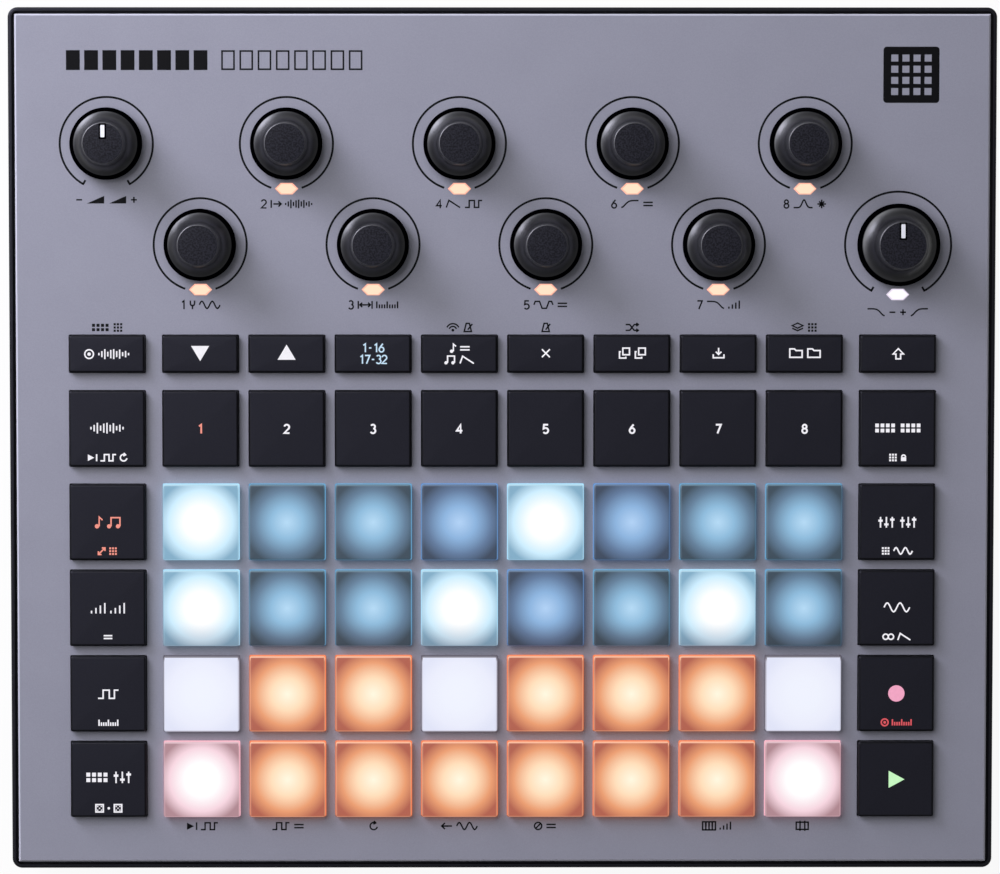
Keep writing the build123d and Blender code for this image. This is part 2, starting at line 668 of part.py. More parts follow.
def data_ports():
    """Reversible data port and memory card slot, both on the main board."""
    usb = port_shape(USB_W, USB_H, USB_H / 2.2, FACE_Y, USB_DEPTH, USB_X, MAIN_TOP + USB_H / 2)
    inner_w = USB_W - 2 * USB_SHELL
    inner_h = USB_H - 2 * USB_SHELL
    usb_z = MAIN_TOP + USB_H / 2
    usb -= port_shape(inner_w, inner_h, inner_h / 2.2, FACE_Y, USB_DEPTH - 1, USB_X, usb_z)
    usb += box_behind(inner_w - 2, USB_TONGUE_H, FACE_Y - 1, USB_DEPTH - 1, USB_X, usb_z)
    card_z = MAIN_TOP + CARD_H / 2
    card = box_behind(CARD_W, CARD_H, FACE_Y, CARD_DEPTH, CARD_X, card_z)
    slot_w = CARD_W - 2 * CARD_SHELL
    slot_h = CARD_H - 2 * CARD_SHELL
    card -= box_behind(slot_w, slot_h, FACE_Y, CARD_DEPTH - 1, CARD_X, card_z)
    return Compound(children=[usb, card])


def battery_pack():
    """Flat rechargeable pack on the floor inside its fence."""
    pack = block(BATTERY_W, BATTERY_D, FLOOR_Z, FLOOR_Z + BATTERY_H, 0, BATTERY_Y)
    return fillet(pack.edges().filter_by(Axis.Y), BATTERY_EDGE_R)


def rubber_feet():
    """Round feet, each sunk a little way into the underside."""
    foot = post(FOOT_R, 0.0, CASE_Z + FOOT_SINK)
    foot = fillet(foot.faces().sort_by(Axis.Z)[0].edges(), FOOT_EDGE_R)
    return Compound(children=[Pos(x, y, 0) * foot for x, y in foot_places()])


def case_screws():
    """Self-tapping screws, put in from below."""
    seat = CASE_Z + HEAD_SINK
    screw = post(HEAD_R, seat - HEAD_H, seat) + post(SCREW_R, seat, seat + SCREW_L)
    for width, depth in ((DRIVE_W, HEAD_R * 1.4), (HEAD_R * 1.4, DRIVE_W)):
        screw -= block(width, depth, seat - HEAD_H, seat - HEAD_H + DRIVE_DEPTH)
    return Compound(children=[Pos(x, y, 0) * screw for x, y in screw_places()])


# ---------------------------------------------------------------------- build
def all_nodes():
    """Every sub-part by the name of its node."""
    nodes = {
        "bottom_case": bottom_case(),
        "upper_case": upper_case(),
        "top_panel": top_panel(),
        "control_board": control_board(),
        "main_board": main_board(),
        "rotary_controls": rotary_controls(),
        "jack_sockets": jack_sockets(),
        "midi_sockets": Compound(children=[midi_socket(x) for x in DIN_X]),
        "data_ports": data_ports(),
        "battery_pack": battery_pack(),
        "rubber_feet": rubber_feet(),
        "case_screws": case_screws(),
        "light_pipes": light_pipes(),
        "power_button": power_button(),
    }
    for name, places in button_groups().items():
        nodes[name] = button_strip(places)
    pad = key(KEY_D, PAD_PROUD, PAD_TRAVEL)
    for name, x, y in pad_places():
        nodes[name] = Pos(x, y, 0) * pad
    for name, x, y in encoder_places():
        nodes[name] = knob(KNOB_BASE_R, KNOB_TOP_R, False, x, y)
    name, x, y = VOLUME_PLACE
    nodes[name] = knob(KNOB_BASE_R, KNOB_TOP_R, True, x, y)
    name, x, y = FILTER_PLACE
    nodes[name] = knob(FILTER_BASE_R, FILTER_TOP_R, True, x, y)
    return nodes


os.makedirs("parts", exist_ok=True)
for node_name, shape in all_nodes().items():
    export_step(shape, f"parts/{node_name}.step")
    print(node_name, len(shape.solids()), "solids", round(shape.volume / 1000, 2), "cm3")
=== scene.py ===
# %% [markdown]
# # A desktop drum machine, dressed for a render
# The real object is a flat black case with a painted metal top, sixty lit keys and ten rubber knobs.
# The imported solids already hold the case, boards and sockets, so these stay and only take a finish.
# The keys and knobs get new surfaces, because their soft round edges decide how they look under a lamp.

import math

import bmesh
import bpy
import numpy as np
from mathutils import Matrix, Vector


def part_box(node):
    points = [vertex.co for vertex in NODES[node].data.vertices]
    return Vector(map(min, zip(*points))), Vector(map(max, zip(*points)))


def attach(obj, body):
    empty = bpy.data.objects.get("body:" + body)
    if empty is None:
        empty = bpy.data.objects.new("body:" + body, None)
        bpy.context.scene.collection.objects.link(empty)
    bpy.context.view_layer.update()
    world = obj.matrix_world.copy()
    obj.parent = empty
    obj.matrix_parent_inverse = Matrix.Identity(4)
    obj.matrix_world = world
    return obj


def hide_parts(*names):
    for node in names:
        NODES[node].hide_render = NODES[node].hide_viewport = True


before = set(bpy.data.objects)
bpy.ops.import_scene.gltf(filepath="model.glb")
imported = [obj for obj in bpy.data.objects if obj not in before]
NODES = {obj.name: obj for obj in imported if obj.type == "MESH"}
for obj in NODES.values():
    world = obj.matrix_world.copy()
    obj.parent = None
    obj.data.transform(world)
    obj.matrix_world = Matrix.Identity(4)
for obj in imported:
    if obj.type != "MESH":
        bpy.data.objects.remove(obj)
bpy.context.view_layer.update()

# %% [markdown]
# ## The camera
# The machine lies flat, and the camera looks almost straight down from over a metre, a little behind the middle.
# A long lens from that far keeps the rows of keys parallel, and shows just a sliver of the knobs' sides.
# A small shift centres the case in the frame without a further tilt.


# %% Camera
def add(name, data):
    """New object in the scene, at the origin."""
    made = bpy.data.objects.new(name, data)
    bpy.context.scene.collection.objects.link(made)
    return made


camera = add("camera", bpy.data.cameras.new("camera"))
bpy.context.scene.camera = camera
camera.location = (-0.015, 0.0626, 1.25)
camera.rotation_euler = (-0.0663, -0.0062, 0.0001)
camera.data.sensor_width = 36.0
camera.data.lens = 180.27
camera.data.shift_x, camera.data.shift_y = 0.028, 0.078
camera.data.clip_end = 50.0
bpy.context.scene.view_settings.view_transform = "Standard"
print("camera at", [round(v, 3) for v in camera.location])

# %% [markdown]
# ## Shader maths written as a formula
# A mask such as "the rim of the plate" is a small sum on positions. Wired by hand it takes a dozen boxes.
# So one class stands for a number in the node tree, and plus, minus and times on it add the Math nodes.
# A second class holds one finish: its Principled shader, and a single method that adds any other kind of node.

# %% Signals and finishes
HAND_PATCH = 24.0  # size in millimetres of the patches that handling leaves


class Signal:
    """A number that varies over a surface: an output socket on which arithmetic adds Math nodes."""

    def __init__(self, finish, socket):
        self.finish = finish
        self.socket = socket

    def math(self, operation, *others):
        """Math node on this signal and up to two more signals or numbers."""
        return self.finish.node("Math", dict(enumerate((self, *others))), operation=operation)

    def __add__(self, other):
        return self.math("ADD", other)

    def __sub__(self, other):
        return self.math("SUBTRACT", other)

    def __rsub__(self, other):
        return (self * -1.0) + other

    def __mul__(self, other):
        return self.math("MULTIPLY", other)

    def __truediv__(self, other):
        return self.math("DIVIDE", other)

    __radd__ = __add__
    __rmul__ = __mul__

    def size(self):
        return self.math("ABSOLUTE")

    def over(self, edge):
        """1 where the signal is over the edge, else 0."""
        return self.math("GREATER_THAN", edge)

    def most(self, other):
        return self.math("MAXIMUM", other)

    def least(self, other):
        return self.math("MINIMUM", other)

    def rise(self, start, end):
        """0 before start, 1 after end, and an S-shaped slope between them."""
        settings = {"interpolation_type": "SMOOTHSTEP"}
        return self.finish.node("MapRange", {"Value": self, "From Min": start, "From Max": end}, **settings)

    def from_middle(self, pitch, start):
        """Distance to the nearest of a row of places that repeat with that pitch from start."""
        return ((self - start) / pitch + 0.5).math("FRACT") * pitch - 0.5 * pitch


class Finish:
    """One material: its Principled shader, and the method that adds every other node."""

    def __init__(self, name, colour, **uniform):
        self.material = bpy.data.materials.new(name)
        self.material.use_nodes = True
        self.tree = self.material.node_tree
        self.shader = self.tree.nodes["Principled BSDF"]
        self.set(base_color=paint(*colour), **uniform)

    def set(self, **inputs):
        """Gives inputs of the shader a value or a link. Their names are written like base_color."""
        names = {key: key.replace("_", " ").title().replace("Ior", "IOR") for key in inputs}
        self.feed(self.shader, {names[key]: value for key, value in inputs.items()})

    def feed(self, node, sockets):
        """Puts a value or a link into each named or numbered input."""
        for key, value in sockets.items():
            if isinstance(value, Signal):
                self.tree.links.new(value.socket, node.inputs[key])
            else:
                node.inputs[key].default_value = value

    def node(self, kind, sockets=None, output=0, stops=None, **settings):
        """Adds a node: its settings and ramp stops first, then its inputs. Returns one output."""
        made = self.tree.nodes.new("ShaderNode" + kind)
        for key, value in settings.items():
            setattr(made, key, value)
        if stops:
            ramp = made.color_ramp.elements
            while len(ramp) < len(stops):
                ramp.new(1.0)
            for element, (place, tint) in zip(ramp, stops):
                element.position, element.color = place, tint
        self.feed(made, sockets or {})
        return Signal(self, made.outputs[output])

    def where(self):
        """Object coordinates in millimetres."""
        metres = self.node("TexCoord", output="Object")
        return self.node("VectorMath", {0: metres, 1: (1000.0,) * 3}, operation="MULTIPLY")

    def place(self):
        """Object coordinates in millimetres, whole and as x, y and z."""
        where = self.where()
        split = self.node("SeparateXYZ", {0: where})
        return [where] + [Signal(self, split.socket.node.outputs[i]) for i in range(3)]

    def grain(self, where, size, detail=2.0):
        """Cloudy noise with spots of that size in millimetres, about 0.5 on average."""
        return self.node("TexNoise", {"Vector": where, "Scale": 1.0 / size, "Detail": detail})

    def blend(self, share, first, second, mode="MIX"):
        """Colour that goes from first to second with the share. Both are links or screen colours."""
        first, second = (paint(*tone) if isinstance(tone, tuple) else tone for tone in (first, second))
        return self.node("Mix", {0: share, 6: first, 7: second}, output=2, data_type="RGBA", blend_type=mode)

    def bump(self, height, depth):
        """Relief that many millimetres deep on the finish."""
        raised = self.node("Bump", {"Height": height, "Distance": depth * 0.001, "Strength": 1.0})
        self.set(normal=raised)

    def wear(self, where, rough, swing):
        """Roughness that drifts with handling, in patches a few centimetres wide."""
        patches = self.grain(where, HAND_PATCH, 3.0)
        self.set(roughness=patches * (2.0 * swing) + (rough - swing))


def paint(red, green, blue):
    """Linear colour of a screen colour given from 0 to 255."""
    tone = np.array([red, green, blue]) / 255.0
    linear = np.where(tone > 0.04045, ((tone + 0.055) / 1.055) ** 2.4, tone / 12.92)
    return (*linear.tolist(), 1.0)


print("a mid grey of 128 is", round(paint(128, 128, 128)[0], 3), "in linear light")

# %% [markdown]
# ## Surfaces from arrays
# A grid of points, rows by columns, becomes quads, so every shape below is only a rule for its points.
# The last column joins the first, and a row drawn into one point closes the end of a shell.
# All shapes are in millimetres until the last step, which makes the mesh.


# %% Grids and turned shapes
def shell(grid):
    """Points and quads of a grid of shape rows, columns, 3, whose columns close on themselves."""
    rows, columns = grid.shape[:2]
    r = np.arange(rows - 1)[:, None] * columns
    c = np.arange(columns)[None, :]
    n = (c + 1) % columns
    corners = np.stack([r + c, r + n, r + columns + n, r + columns + c], -1)
    return grid.reshape(-1, 3), corners.reshape(-1, 4).tolist()


def turned(radii, heights, x, y, count=96):
    """Lathe shape: each profile point goes once round the axis, x plus r cos a, y plus r sin a."""
    angle = np.linspace(0, 2 * np.pi, count, endpoint=False)
    r = np.asarray(radii, float)[:, None]
    z = np.asarray(heights, float)[:, None] + 0 * angle
    return shell(np.stack([x + r * np.cos(angle), y + r * np.sin(angle), z], -1))


def stacked(half_w, half_d, corner, heights, x, y, count=6):
    """Rounded rectangles stacked at the heights: a corner's centre plus its radius along each direction."""
    quarter = np.repeat(np.arange(4), count)
    angle = np.pi / 2 * (quarter + np.tile(np.linspace(0, 1, count), 4))
    side, end = np.array([[1, -1, -1, 1], [1, 1, -1, -1]])[:, quarter]
    w, d, r, z = (np.asarray(v, float)[:, None] for v in (half_w, half_d, corner, heights))
    px = x + side * (w - r) + r * np.cos(angle)
    py = y + end * (d - r) + r * np.sin(angle)
    return shell(np.stack([px, py, z + 0 * angle], -1))


print("a turned shape of 2 profile points has", len(turned([1, 1], [0, 1], 0, 0)[1]), "quads")

# %% [markdown]
# ## From shells to an object
# Each piece is one mesh with its place in its points, so its object stays at the origin, unturned and unscaled.
# It rides on a moving part by name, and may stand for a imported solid, which is then hidden.

# %% One object from several shells
CREASE = math.radians(40.0)


def piece(name, shells, finish, body, stands_for=()):
    """Joins the shells, closes their seams, turns the faces outward and lets the piece ride on its body."""
    counts = np.cumsum([0] + [len(points) for points, _ in shells])
    points = np.concatenate([points for points, _ in shells]) * 0.001
    faces = [[i + start for i in face] for start, (_, quads) in zip(counts, shells) for face in quads]
    mesh = bpy.data.meshes.new(name)
    mesh.from_pydata(points.tolist(), [], faces)
    tidy_mesh(mesh)
    mesh.shade_smooth()
    mesh.set_sharp_from_angle(angle=CREASE)
    mesh.materials.append(finish.material)
    made = add(name, mesh)
    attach(made, body)
    if stands_for:
        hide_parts(*stands_for)


def tidy_mesh(mesh):
    """Welds points that fall together and makes every face look outward."""
    work = bmesh.new()
    work.from_mesh(mesh)
    bmesh.ops.remove_doubles(work, verts=work.verts, dist=1e-7)
    bmesh.ops.recalc_face_normals(work, faces=work.faces)
    work.to_mesh(mesh)
    work.free()


print("creases are sharp from", round(math.degrees(CREASE)), "degrees")

# %% [markdown]
# ## Where everything is
# The numbers are in millimetres: the pitch of the keys, and the heights of panel and keys.
# Knobs and pads are named nodes, so their middles are read from the solids. The keys of a strip are counted out.

# %% Places and heights
PITCH = 21.0
SIDE_X = 96.2
PAD_Y = (-20.0, -41.0, -62.0, -83.0)
TRACK_Y, MENU_Y = 2.8, 21.0
BOARD_Z, PANEL_Z = 25.1, 31.0
PANEL_W, PANEL_D = 236.8, 206.8
KEY_W, MENU_D = 18.4, 9.0
PAD_Z, BUTTON_Z = 33.3, 33.2
CROWN = 0.12  # rise of a key's top to its middle
COLUMN_X = [(i - 3.5) * PITCH for i in range(8)]


def middle(node):
    """Middle of a solid from above, in millimetres."""
    low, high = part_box(node)
    return 500 * (low.x + high.x), 500 * (low.y + high.y)


def side_keys(x):
    """Middle and depth of the six keys of a side column."""
    return [(x, MENU_Y, MENU_D), (x, TRACK_Y, KEY_W)] + [(x, y, KEY_W) for y in PAD_Y]


STRIPS = {
    "left_buttons": side_keys(-SIDE_X),
    "right_buttons": side_keys(SIDE_X),
    "menu_buttons": [(x, MENU_Y, MENU_D) for x in COLUMN_X],
    "track_buttons": [(x, TRACK_Y, KEY_W) for x in COLUMN_X],
}
print("first pad at", [round(v, 2) for v in middle("pad_1_1")], "and", sum(map(len, STRIPS.values())), "buttons")

# %% [markdown]
# ## Moulded black plastic
# The case is injection moulded, and the steel mould was etched, so the plastic has a fine dull texture.
# A bump from two sizes of noise gives that texture, which also moves the colour a little.
# A slow third noise lets the sheen drift, as it does on a case that has been handled.

# %% Case plastic
LAVENDER = (0.84, 0.84, 1.0, 1.0)  # tint of the sheen on black plastic
case = Finish("case_plastic", (15, 15, 19), specular_ior_level=0.35, specular_tint=LAVENDER)
where = case.where()
texture = case.grain(where, 0.35) * 0.7 + case.grain(where, 0.9) * 0.3
case.bump(texture, 0.02)
case.wear(where, 0.4, 0.07)
case.set(base_color=case.blend(texture, (7, 7, 9), (18, 18, 22)))
print(case.material.name, len(case.tree.nodes), "nodes")

# %% [markdown]
# ## Painted metal
# The top plate is sprayed in a lavender grey with tiny flecks. Its rim is painted lighter: partly the bare cut edge,
# partly a painted highlight.
# The flecks are noise in the colour and in the bump, small enough to be seen only close by.
# The rim is a mask: how far a point is past the flat of the plate, to either side or end.

# %% Panel paint
RIM_W = 0.41
plate = Finish("panel_paint", (150, 150, 162))
where, x, y, _ = plate.place()
flecks = plate.grain(where, 0.28, 3.0)
clouds = plate.grain(where, 14.0)
rim = (x.size() - (PANEL_W / 2 - RIM_W)).most(y.size() - (PANEL_D / 2 - RIM_W)).over(0.0)
body_tone = plate.blend(flecks * 0.7 + clouds * 0.3, (138, 138, 150), (161, 161, 173))
# Painted highlight: the lighter rim colour stands for the bare cut edge and for the edge catching the lamp.
plate.set(base_color=plate.blend(rim, body_tone, (206, 206, 216)))
plate.bump(flecks, 0.012)
plate.wear(where, 0.47, 0.04)
print(plate.material.name, len(plate.tree.nodes), "nodes")

# %% [markdown]
# ## Keys in black
# The buttons are hard plastic with a satin face. Fine noise breaks up the reflection on it.
# The round edge and the sides are painted pure black, a painted shade, which outlines each key.
# They start where the crown of the top ends, so a mask on the height tells them apart.

# %% Button plastic
FACE_END = BUTTON_Z - CROWN
button = Finish("button_black", (25, 25, 32), specular_ior_level=0.3, specular_tint=LAVENDER)
where, _, _, z = button.place()
speck = button.grain(where, 0.3, 3.0)
face = button.blend(speck, (20, 20, 26), (30, 30, 38))
on_face = z.rise(FACE_END - 0.004, FACE_END + 0.004)
# Painted shade: below the crown, the round edge and the sides take a near-black colour.
button.set(base_color=button.blend(on_face, (2, 2, 3), face))
button.bump(speck, 0.008)
button.wear(where, 0.42, 0.06)
print(button.material.name, len(button.tree.nodes), "nodes")

# %% [markdown]
# ## Lit silicone
# A lit pad is milky silicone over one small LED, so it is brightest in the middle and fades towards its corners.
# The fade depends only on the distance to the pad's middle, and the pads repeat every 21 mm.
# So one rule on object coordinates serves all pads, and a ramp of four colours gives each light its own fade.
# On lit pads the bevel round the top is painted lighter, a painted highlight that is strongest behind. A painted
# orange glow from the front rows tints half of the second row.

# %% Pad silicone
FADE_AT = (0.0, 3.9, 7.8, 10.7)  # distances from the middle at which the four colours stand
FADE_END = 11.0
SIDE_TOP = PANEL_Z + 1.0


def pad_finish(name, *tones):
    """Silicone that gives off its colour: its four colours from the middle outward, then those of bevel and side."""
    *fade, bevel, side = tones
    finish = Finish(name, (40, 42, 46), coat_weight=0.15, coat_roughness=0.3)
    where, x, y, z = finish.place()
    across = x.from_middle(PITCH, COLUMN_X[0])
    along = y.from_middle(PITCH, PAD_Y[0])
    far = (across * across + along * along).math("SQRT")
    stops = [(distance / FADE_END, paint(*tone)) for distance, tone in zip(FADE_AT, fade)]
    glow = finish.node("ValToRGB", {0: far / FADE_END}, stops=stops)
    on_bevel = across.size().most(along.size()).rise(KEY_W / 2 - 0.34, KEY_W / 2 - 0.22)
    rear = along.rise(KEY_W / 2 - 1.4, KEY_W / 2 - 0.3)
    # Painted highlight: the bevel is lighter, most of all behind; on the white pads the dark bevel is painted shade.
    glow = finish.blend(on_bevel * (rear * 0.6 + 0.3), glow, bevel)
    glow = finish.blend((1.0 - z.over(SIDE_TOP)) * 0.95, glow, side)
    # Painted glow: the orange light of the front rows, laid as a tint over the front half of the second row.
    ahead = PAD_Y[1] - y
    warm = ahead.rise(2.5, 10.5) * (1.0 - ahead.over(PITCH / 2 + 0.5)) * 0.45
    glow = finish.blend(warm, glow, finish.blend(1.0, glow, (196, 140, 136), "MULTIPLY"))
    finish.set(emission_color=glow, emission_strength=1.0)
    finish.bump(finish.grain(where, 0.5), 0.006)
    finish.wear(where, 0.5, 0.05)
    return finish


PAD_TONES = {
    "bright": ((255, 255, 255), (254, 255, 255), (202, 235, 252), (124, 168, 194), (178, 216, 232), (176, 228, 255)),
    "teal": ((177, 215, 242), (136, 183, 216), (89, 119, 146), (42, 62, 76), (96, 128, 146), (104, 164, 204)),
    "blue": ((173, 206, 242), (134, 175, 218), (87, 114, 150), (42, 58, 80), (96, 120, 150), (104, 152, 210)),
    "orange": ((255, 246, 221), (255, 220, 182), (232, 152, 102), (174, 88, 62), (252, 190, 154), (252, 132, 82)),
    "rose": ((255, 255, 255), (255, 255, 255), (244, 210, 220), (172, 130, 138), (226, 190, 198), (250, 184, 198)),
    # The white pads are unlit: their white is given off as painted light, and their dark bevel and side are painted
    # shade.
    "white": ((237, 240, 252), (236, 239, 251), (232, 234, 249), (222, 225, 244), (96, 88, 94), (96, 92, 104)),
}
PAD_FINISHES = {light: pad_finish("pad_silicone_" + light, *tones) for light, tones in PAD_TONES.items()}
LIT = (
    "bright teal   teal   blue   bright blue   teal   teal",
    "bright teal   teal   bright blue   teal   bright teal",
    "white  orange orange white  orange orange orange white",
    "rose   orange orange orange orange orange orange rose",
)
print("pad finishes:", ", ".join(f.material.name for f in PAD_FINISHES.values()))

# %% [markdown]
# ## A key's surface
# A key is a hollow cap with a flange that keeps it under the panel, and a plunger that meets the board.
# A box with a Bevel modifier would do, but a stack of rounded rectangles gives crown, edge and flange at once.
# Each row of the stack has its own half width, half depth, corner radius and height.

# %% Key caps
KEY_R = 0.55  # upright corners
EDGE_R = 0.45  # round edge of the top
FLANGE, FLANGE_LOW, FLANGE_HIGH = 0.7, 27.3, 28.7
KEY_WALL, KEY_ROOF = 1.6, 1.8
PLUNGER = 1.5  # half width
PAD_TRAVEL, BUTTON_TRAVEL = 0.8, 1.2
REST_GAP = 0.15  # between plunger and board when the key is down


def key_cap(x, y, depth, top, travel):
    """Crowned top, round edge, side, flange, hollow inside and plunger, as one closed stack."""
    share = np.array([0.0, 0.4, 0.75, 0.93, 0.985])
    turn = np.linspace(0, np.pi / 2, 6)
    inset = EDGE_R * (1 - np.sin(turn))
    roof, foot = top - KEY_ROOF, BOARD_Z + travel + REST_GAP

    def reach(half):
        """Half width or half depth of every row, from the middle of the top to the plunger's foot."""
        outside = [share * (half - EDGE_R), half - inset, [half, half + FLANGE, half + FLANGE]]
        return outside + [[half - KEY_WALL, half - KEY_WALL, PLUNGER, PLUNGER, 0.0]]

    corner = [share * (KEY_R - EDGE_R + 0.05), KEY_R - inset * 0.8, [KEY_R] * 3, [0.3, 0.3, 0.1, 0.1, 0.0]]
    heights = [
        top - CROWN * share**2,
        top - CROWN - EDGE_R * (1 - np.cos(turn)),
        [FLANGE_HIGH, FLANGE_HIGH, FLANGE_LOW, FLANGE_LOW, roof, roof, foot, foot],
    ]
    rows = [np.concatenate([np.ravel(part) for part in stack])
            for stack in (reach(KEY_W / 2), reach(depth / 2), corner, heights)]
    return stacked(*rows, x, y)


for row, lights in enumerate(LIT):
    for column, light in enumerate(lights.split()):
        name = f"pad_{row + 1}_{column + 1}"
        cap = key_cap(*middle(name), KEY_W, PAD_Z, PAD_TRAVEL)
        piece(name + "_cap", [cap], PAD_FINISHES[light], name, [name])
for name, keys in STRIPS.items():
    caps = [key_cap(x, y, depth, BUTTON_Z, BUTTON_TRAVEL) for x, y, depth in keys]
    piece(name + "_caps", caps, button, name, [name])

# %% [markdown]
# ## Knob materials
# A knob is soft black rubber over a steel shaft: an upright skirt, a hollow flare, a slim grip and a flat top.
# Fingers polish the flare, so its gloss is a coat with a mask. The skirt is dull and painted near black, a painted
# shade. The top is rough and speckled, and the ring at its edge is painted lighter, a painted highlight.
# All these zones differ in height alone.

# %% Knob rubber
KNOB_Z, KNOB_TOP = 31.6, 45.0
SHOULDER_Z = KNOB_Z + 3.3
rubber = Finish("knob_rubber", (20, 20, 24), specular_ior_level=0.0, coat_ior=1.98, coat_roughness=0.4)
where, _, _, z = rubber.place()
pores = rubber.grain(where, 0.22, 3.0)
speckle = rubber.grain(where, 0.42, 3.0).rise(0.36, 0.64)
top_face = z.over(KNOB_TOP - 0.005)
rim = z.over(KNOB_TOP - 0.15) - top_face
flare = z.rise(SHOULDER_Z + 0.01, SHOULDER_Z + 0.1)
# Painted shade: the skirt below the flare takes a near-black colour.
tone = rubber.blend(flare, (1, 1, 2), rubber.blend(pores, (4, 4, 8), (10, 10, 18)))
tone = rubber.blend(top_face, tone, rubber.blend(speckle, (18, 18, 24), (39, 39, 47)))
# Painted highlight: the thin ring at the edge of the top is lighter than the grip below it.
tone = rubber.blend(rim, tone, (30, 30, 37))
coat = (flare - top_face * 0.85) * (0.82 + 0.18 * rubber.grain(where, 3.0))
rough = rubber.grain(where, HAND_PATCH, 3.0) * 0.08 + 0.6
rubber.set(base_color=tone, roughness=rough, coat_weight=coat.least(1.0).most(0.0))
rubber.bump(pores, 0.014)
print(rubber.material.name, len(rubber.tree.nodes), "nodes")

# %% [markdown]
# ## Inlay, well and steel
# The pointer is a white inlay in a black well that reflects nothing, and the shaft is plain steel.

# %% Inlay, well and steel
inlay = Finish("pointer_white", (236, 236, 240), roughness=0.4)
where = inlay.where()
inlay.bump(inlay.grain(where, 0.3), 0.004)
inlay.set(base_color=inlay.blend(inlay.grain(where, 0.8), (244, 244, 249), (253, 253, 255)))
well = Finish("pointer_well", (2, 2, 3), specular_ior_level=0.0)
steel = Finish("bushing_steel", (168, 168, 174), metallic=1.0)
where = steel.where()
steel.bump(steel.grain(where, 0.4), 0.004)
steel.wear(where, 0.3, 0.06)
print("inlay, well and steel are ready")

# %% [markdown]
# ## Knob shapes
# The outline is drawn once and turned round the axis, as on a lathe. It goes on under the skirt and up inside,
# so the knob is hollow like the real one. A flat on the steel shaft stops the knob slipping.

# %% Knobs and shafts
SHAFT_R, SHAFT_FLAT = 3.0, 1.5
SHAFT_LOW, FLAT_LOW, SHAFT_TOP = 25.6, 34.6, 42.6
HOLLOW_Z = KNOB_Z + 2.6
SKIRT_WALL = 1.6
KNOB_R = {"volume_knob": (8.75, 5.1), "filter_knob": (10.0, 5.85)}
KNOB_R.update({f"macro_knob_{i + 1}": KNOB_R["volume_knob"] for i in range(8)})


def flare_arc(grip_r, edge_r, low, high, count=22):
    """Hollow curve that leaves the grip upright: part of a circle of radius (w w + h h) / 2w beside it."""
    wide, tall = edge_r - grip_r, high - low
    radius = (wide**2 + tall**2) / (2 * wide)
    a = np.linspace(0, np.arctan2(tall, radius - wide), count)
    return np.stack([grip_r + radius * (1 - np.cos(a)), high - radius * np.sin(a)], -1)


def arc(x, y, radius, first, last, count=48):
    """Points on a circle between two angles in degrees, counted anticlockwise from the right."""
    a = np.radians(np.linspace(first, last, count))
    return np.stack([x + radius * np.cos(a), y + radius * np.sin(a)], -1)


def knob_outline(base_r, top_r):
    """Profile from the middle of the top, down the grip, flare and skirt, and up inside the hollow."""
    rim, shoulder, lip = 0.35, 0.9, 0.25
    lines = [
        [(0.0, KNOB_TOP)],
        arc(top_r - rim, KNOB_TOP - rim, rim, 90, 4, 9),
        flare_arc(top_r + 0.25, base_r - shoulder, SHOULDER_Z, SHOULDER_Z + 4.0),
        arc(base_r - shoulder, SHOULDER_Z - shoulder, shoulder, 84, 0, 8),
        [(base_r, KNOB_Z + lip)],
        arc(base_r - lip, KNOB_Z + lip, lip, 0, -90, 4),
        [(base_r - SKIRT_WALL, KNOB_Z), (base_r - SKIRT_WALL, HOLLOW_Z), (SHAFT_R + 0.02, HOLLOW_Z)],
        [(SHAFT_R + 0.02, SHAFT_TOP), (0.0, SHAFT_TOP)],
    ]
    return np.concatenate([np.array(line, float) for line in lines])


def shaft(x, y):
    """Round steel shaft whose upper part is cut flat on the front, from the control up into the knob."""
    angle = np.linspace(0, 2 * np.pi, 48, endpoint=False)
    round_part = np.stack([SHAFT_R * np.cos(angle), SHAFT_R * np.sin(angle)], -1)
    flat_part = np.stack([round_part[:, 0], np.maximum(round_part[:, 1], -SHAFT_FLAT)], -1)
    heights = np.repeat([SHAFT_LOW, FLAT_LOW, SHAFT_TOP], 2)
    rings = [0 * round_part, round_part, round_part, flat_part, flat_part, 0 * flat_part]
    rows = [np.column_stack([ring + (x, y), np.full(48, z)]) for ring, z in zip(rings, heights)]
    return shell(np.stack(rows))


for name, radii in KNOB_R.items():
    x, y = middle(name)
    outline = knob_outline(*radii)
    piece(name + "_rubber", [turned(outline[:, 0], outline[:, 1], x, y)], rubber, name, [name])
    piece(name + "_shaft", [shaft(x, y)], steel, name)
print("knobs:", len(KNOB_R))

# %% [markdown]
# ## Pointers
# Only the volume and the filter knob show where they stand, by a white bar set into a black well in the top.
# Both are thin plates that start inside the rubber, with the bar a hundredth of a millimetre over the well.

# %% Pointer bars
POINTER_W, POINTER_FOOT = 0.53, 44.7
for name, half in (("volume_knob", 1.5), ("filter_knob", 1.72)):
    x, y = middle(name)
    y += KNOB_R[name][1] - 0.7 - half
    for part, finish, wide, rise in (("pointer", inlay, 0.0, 0.02), ("well", well, 0.42, 0.01)):
        top = KNOB_TOP + rise
        rows = [[0.0, edge + wide - 0.04, edge + wide, edge + wide, 0.0] for edge in (POINTER_W, half)]
        corner, heights = [0.0, 0.2, 0.24, 0.24, 0.0], [top, top, top - 0.04, POINTER_FOOT, POINTER_FOOT]
        piece(f"{name}_{part}", [stacked(*rows, corner, heights, x, y)], finish, name)
print("pointers on two knobs")

# %% [markdown]
# ## Printed lines
# Rings, scales and signs are screen printed on the real panel. A texture could hold them, but would blur close by.
# Each line is a thin strip instead: a path, a width, and a height too small to see from the side.
# Corners are mitred: at a bend the strip's side moves out by one over the cosine of half the turn.


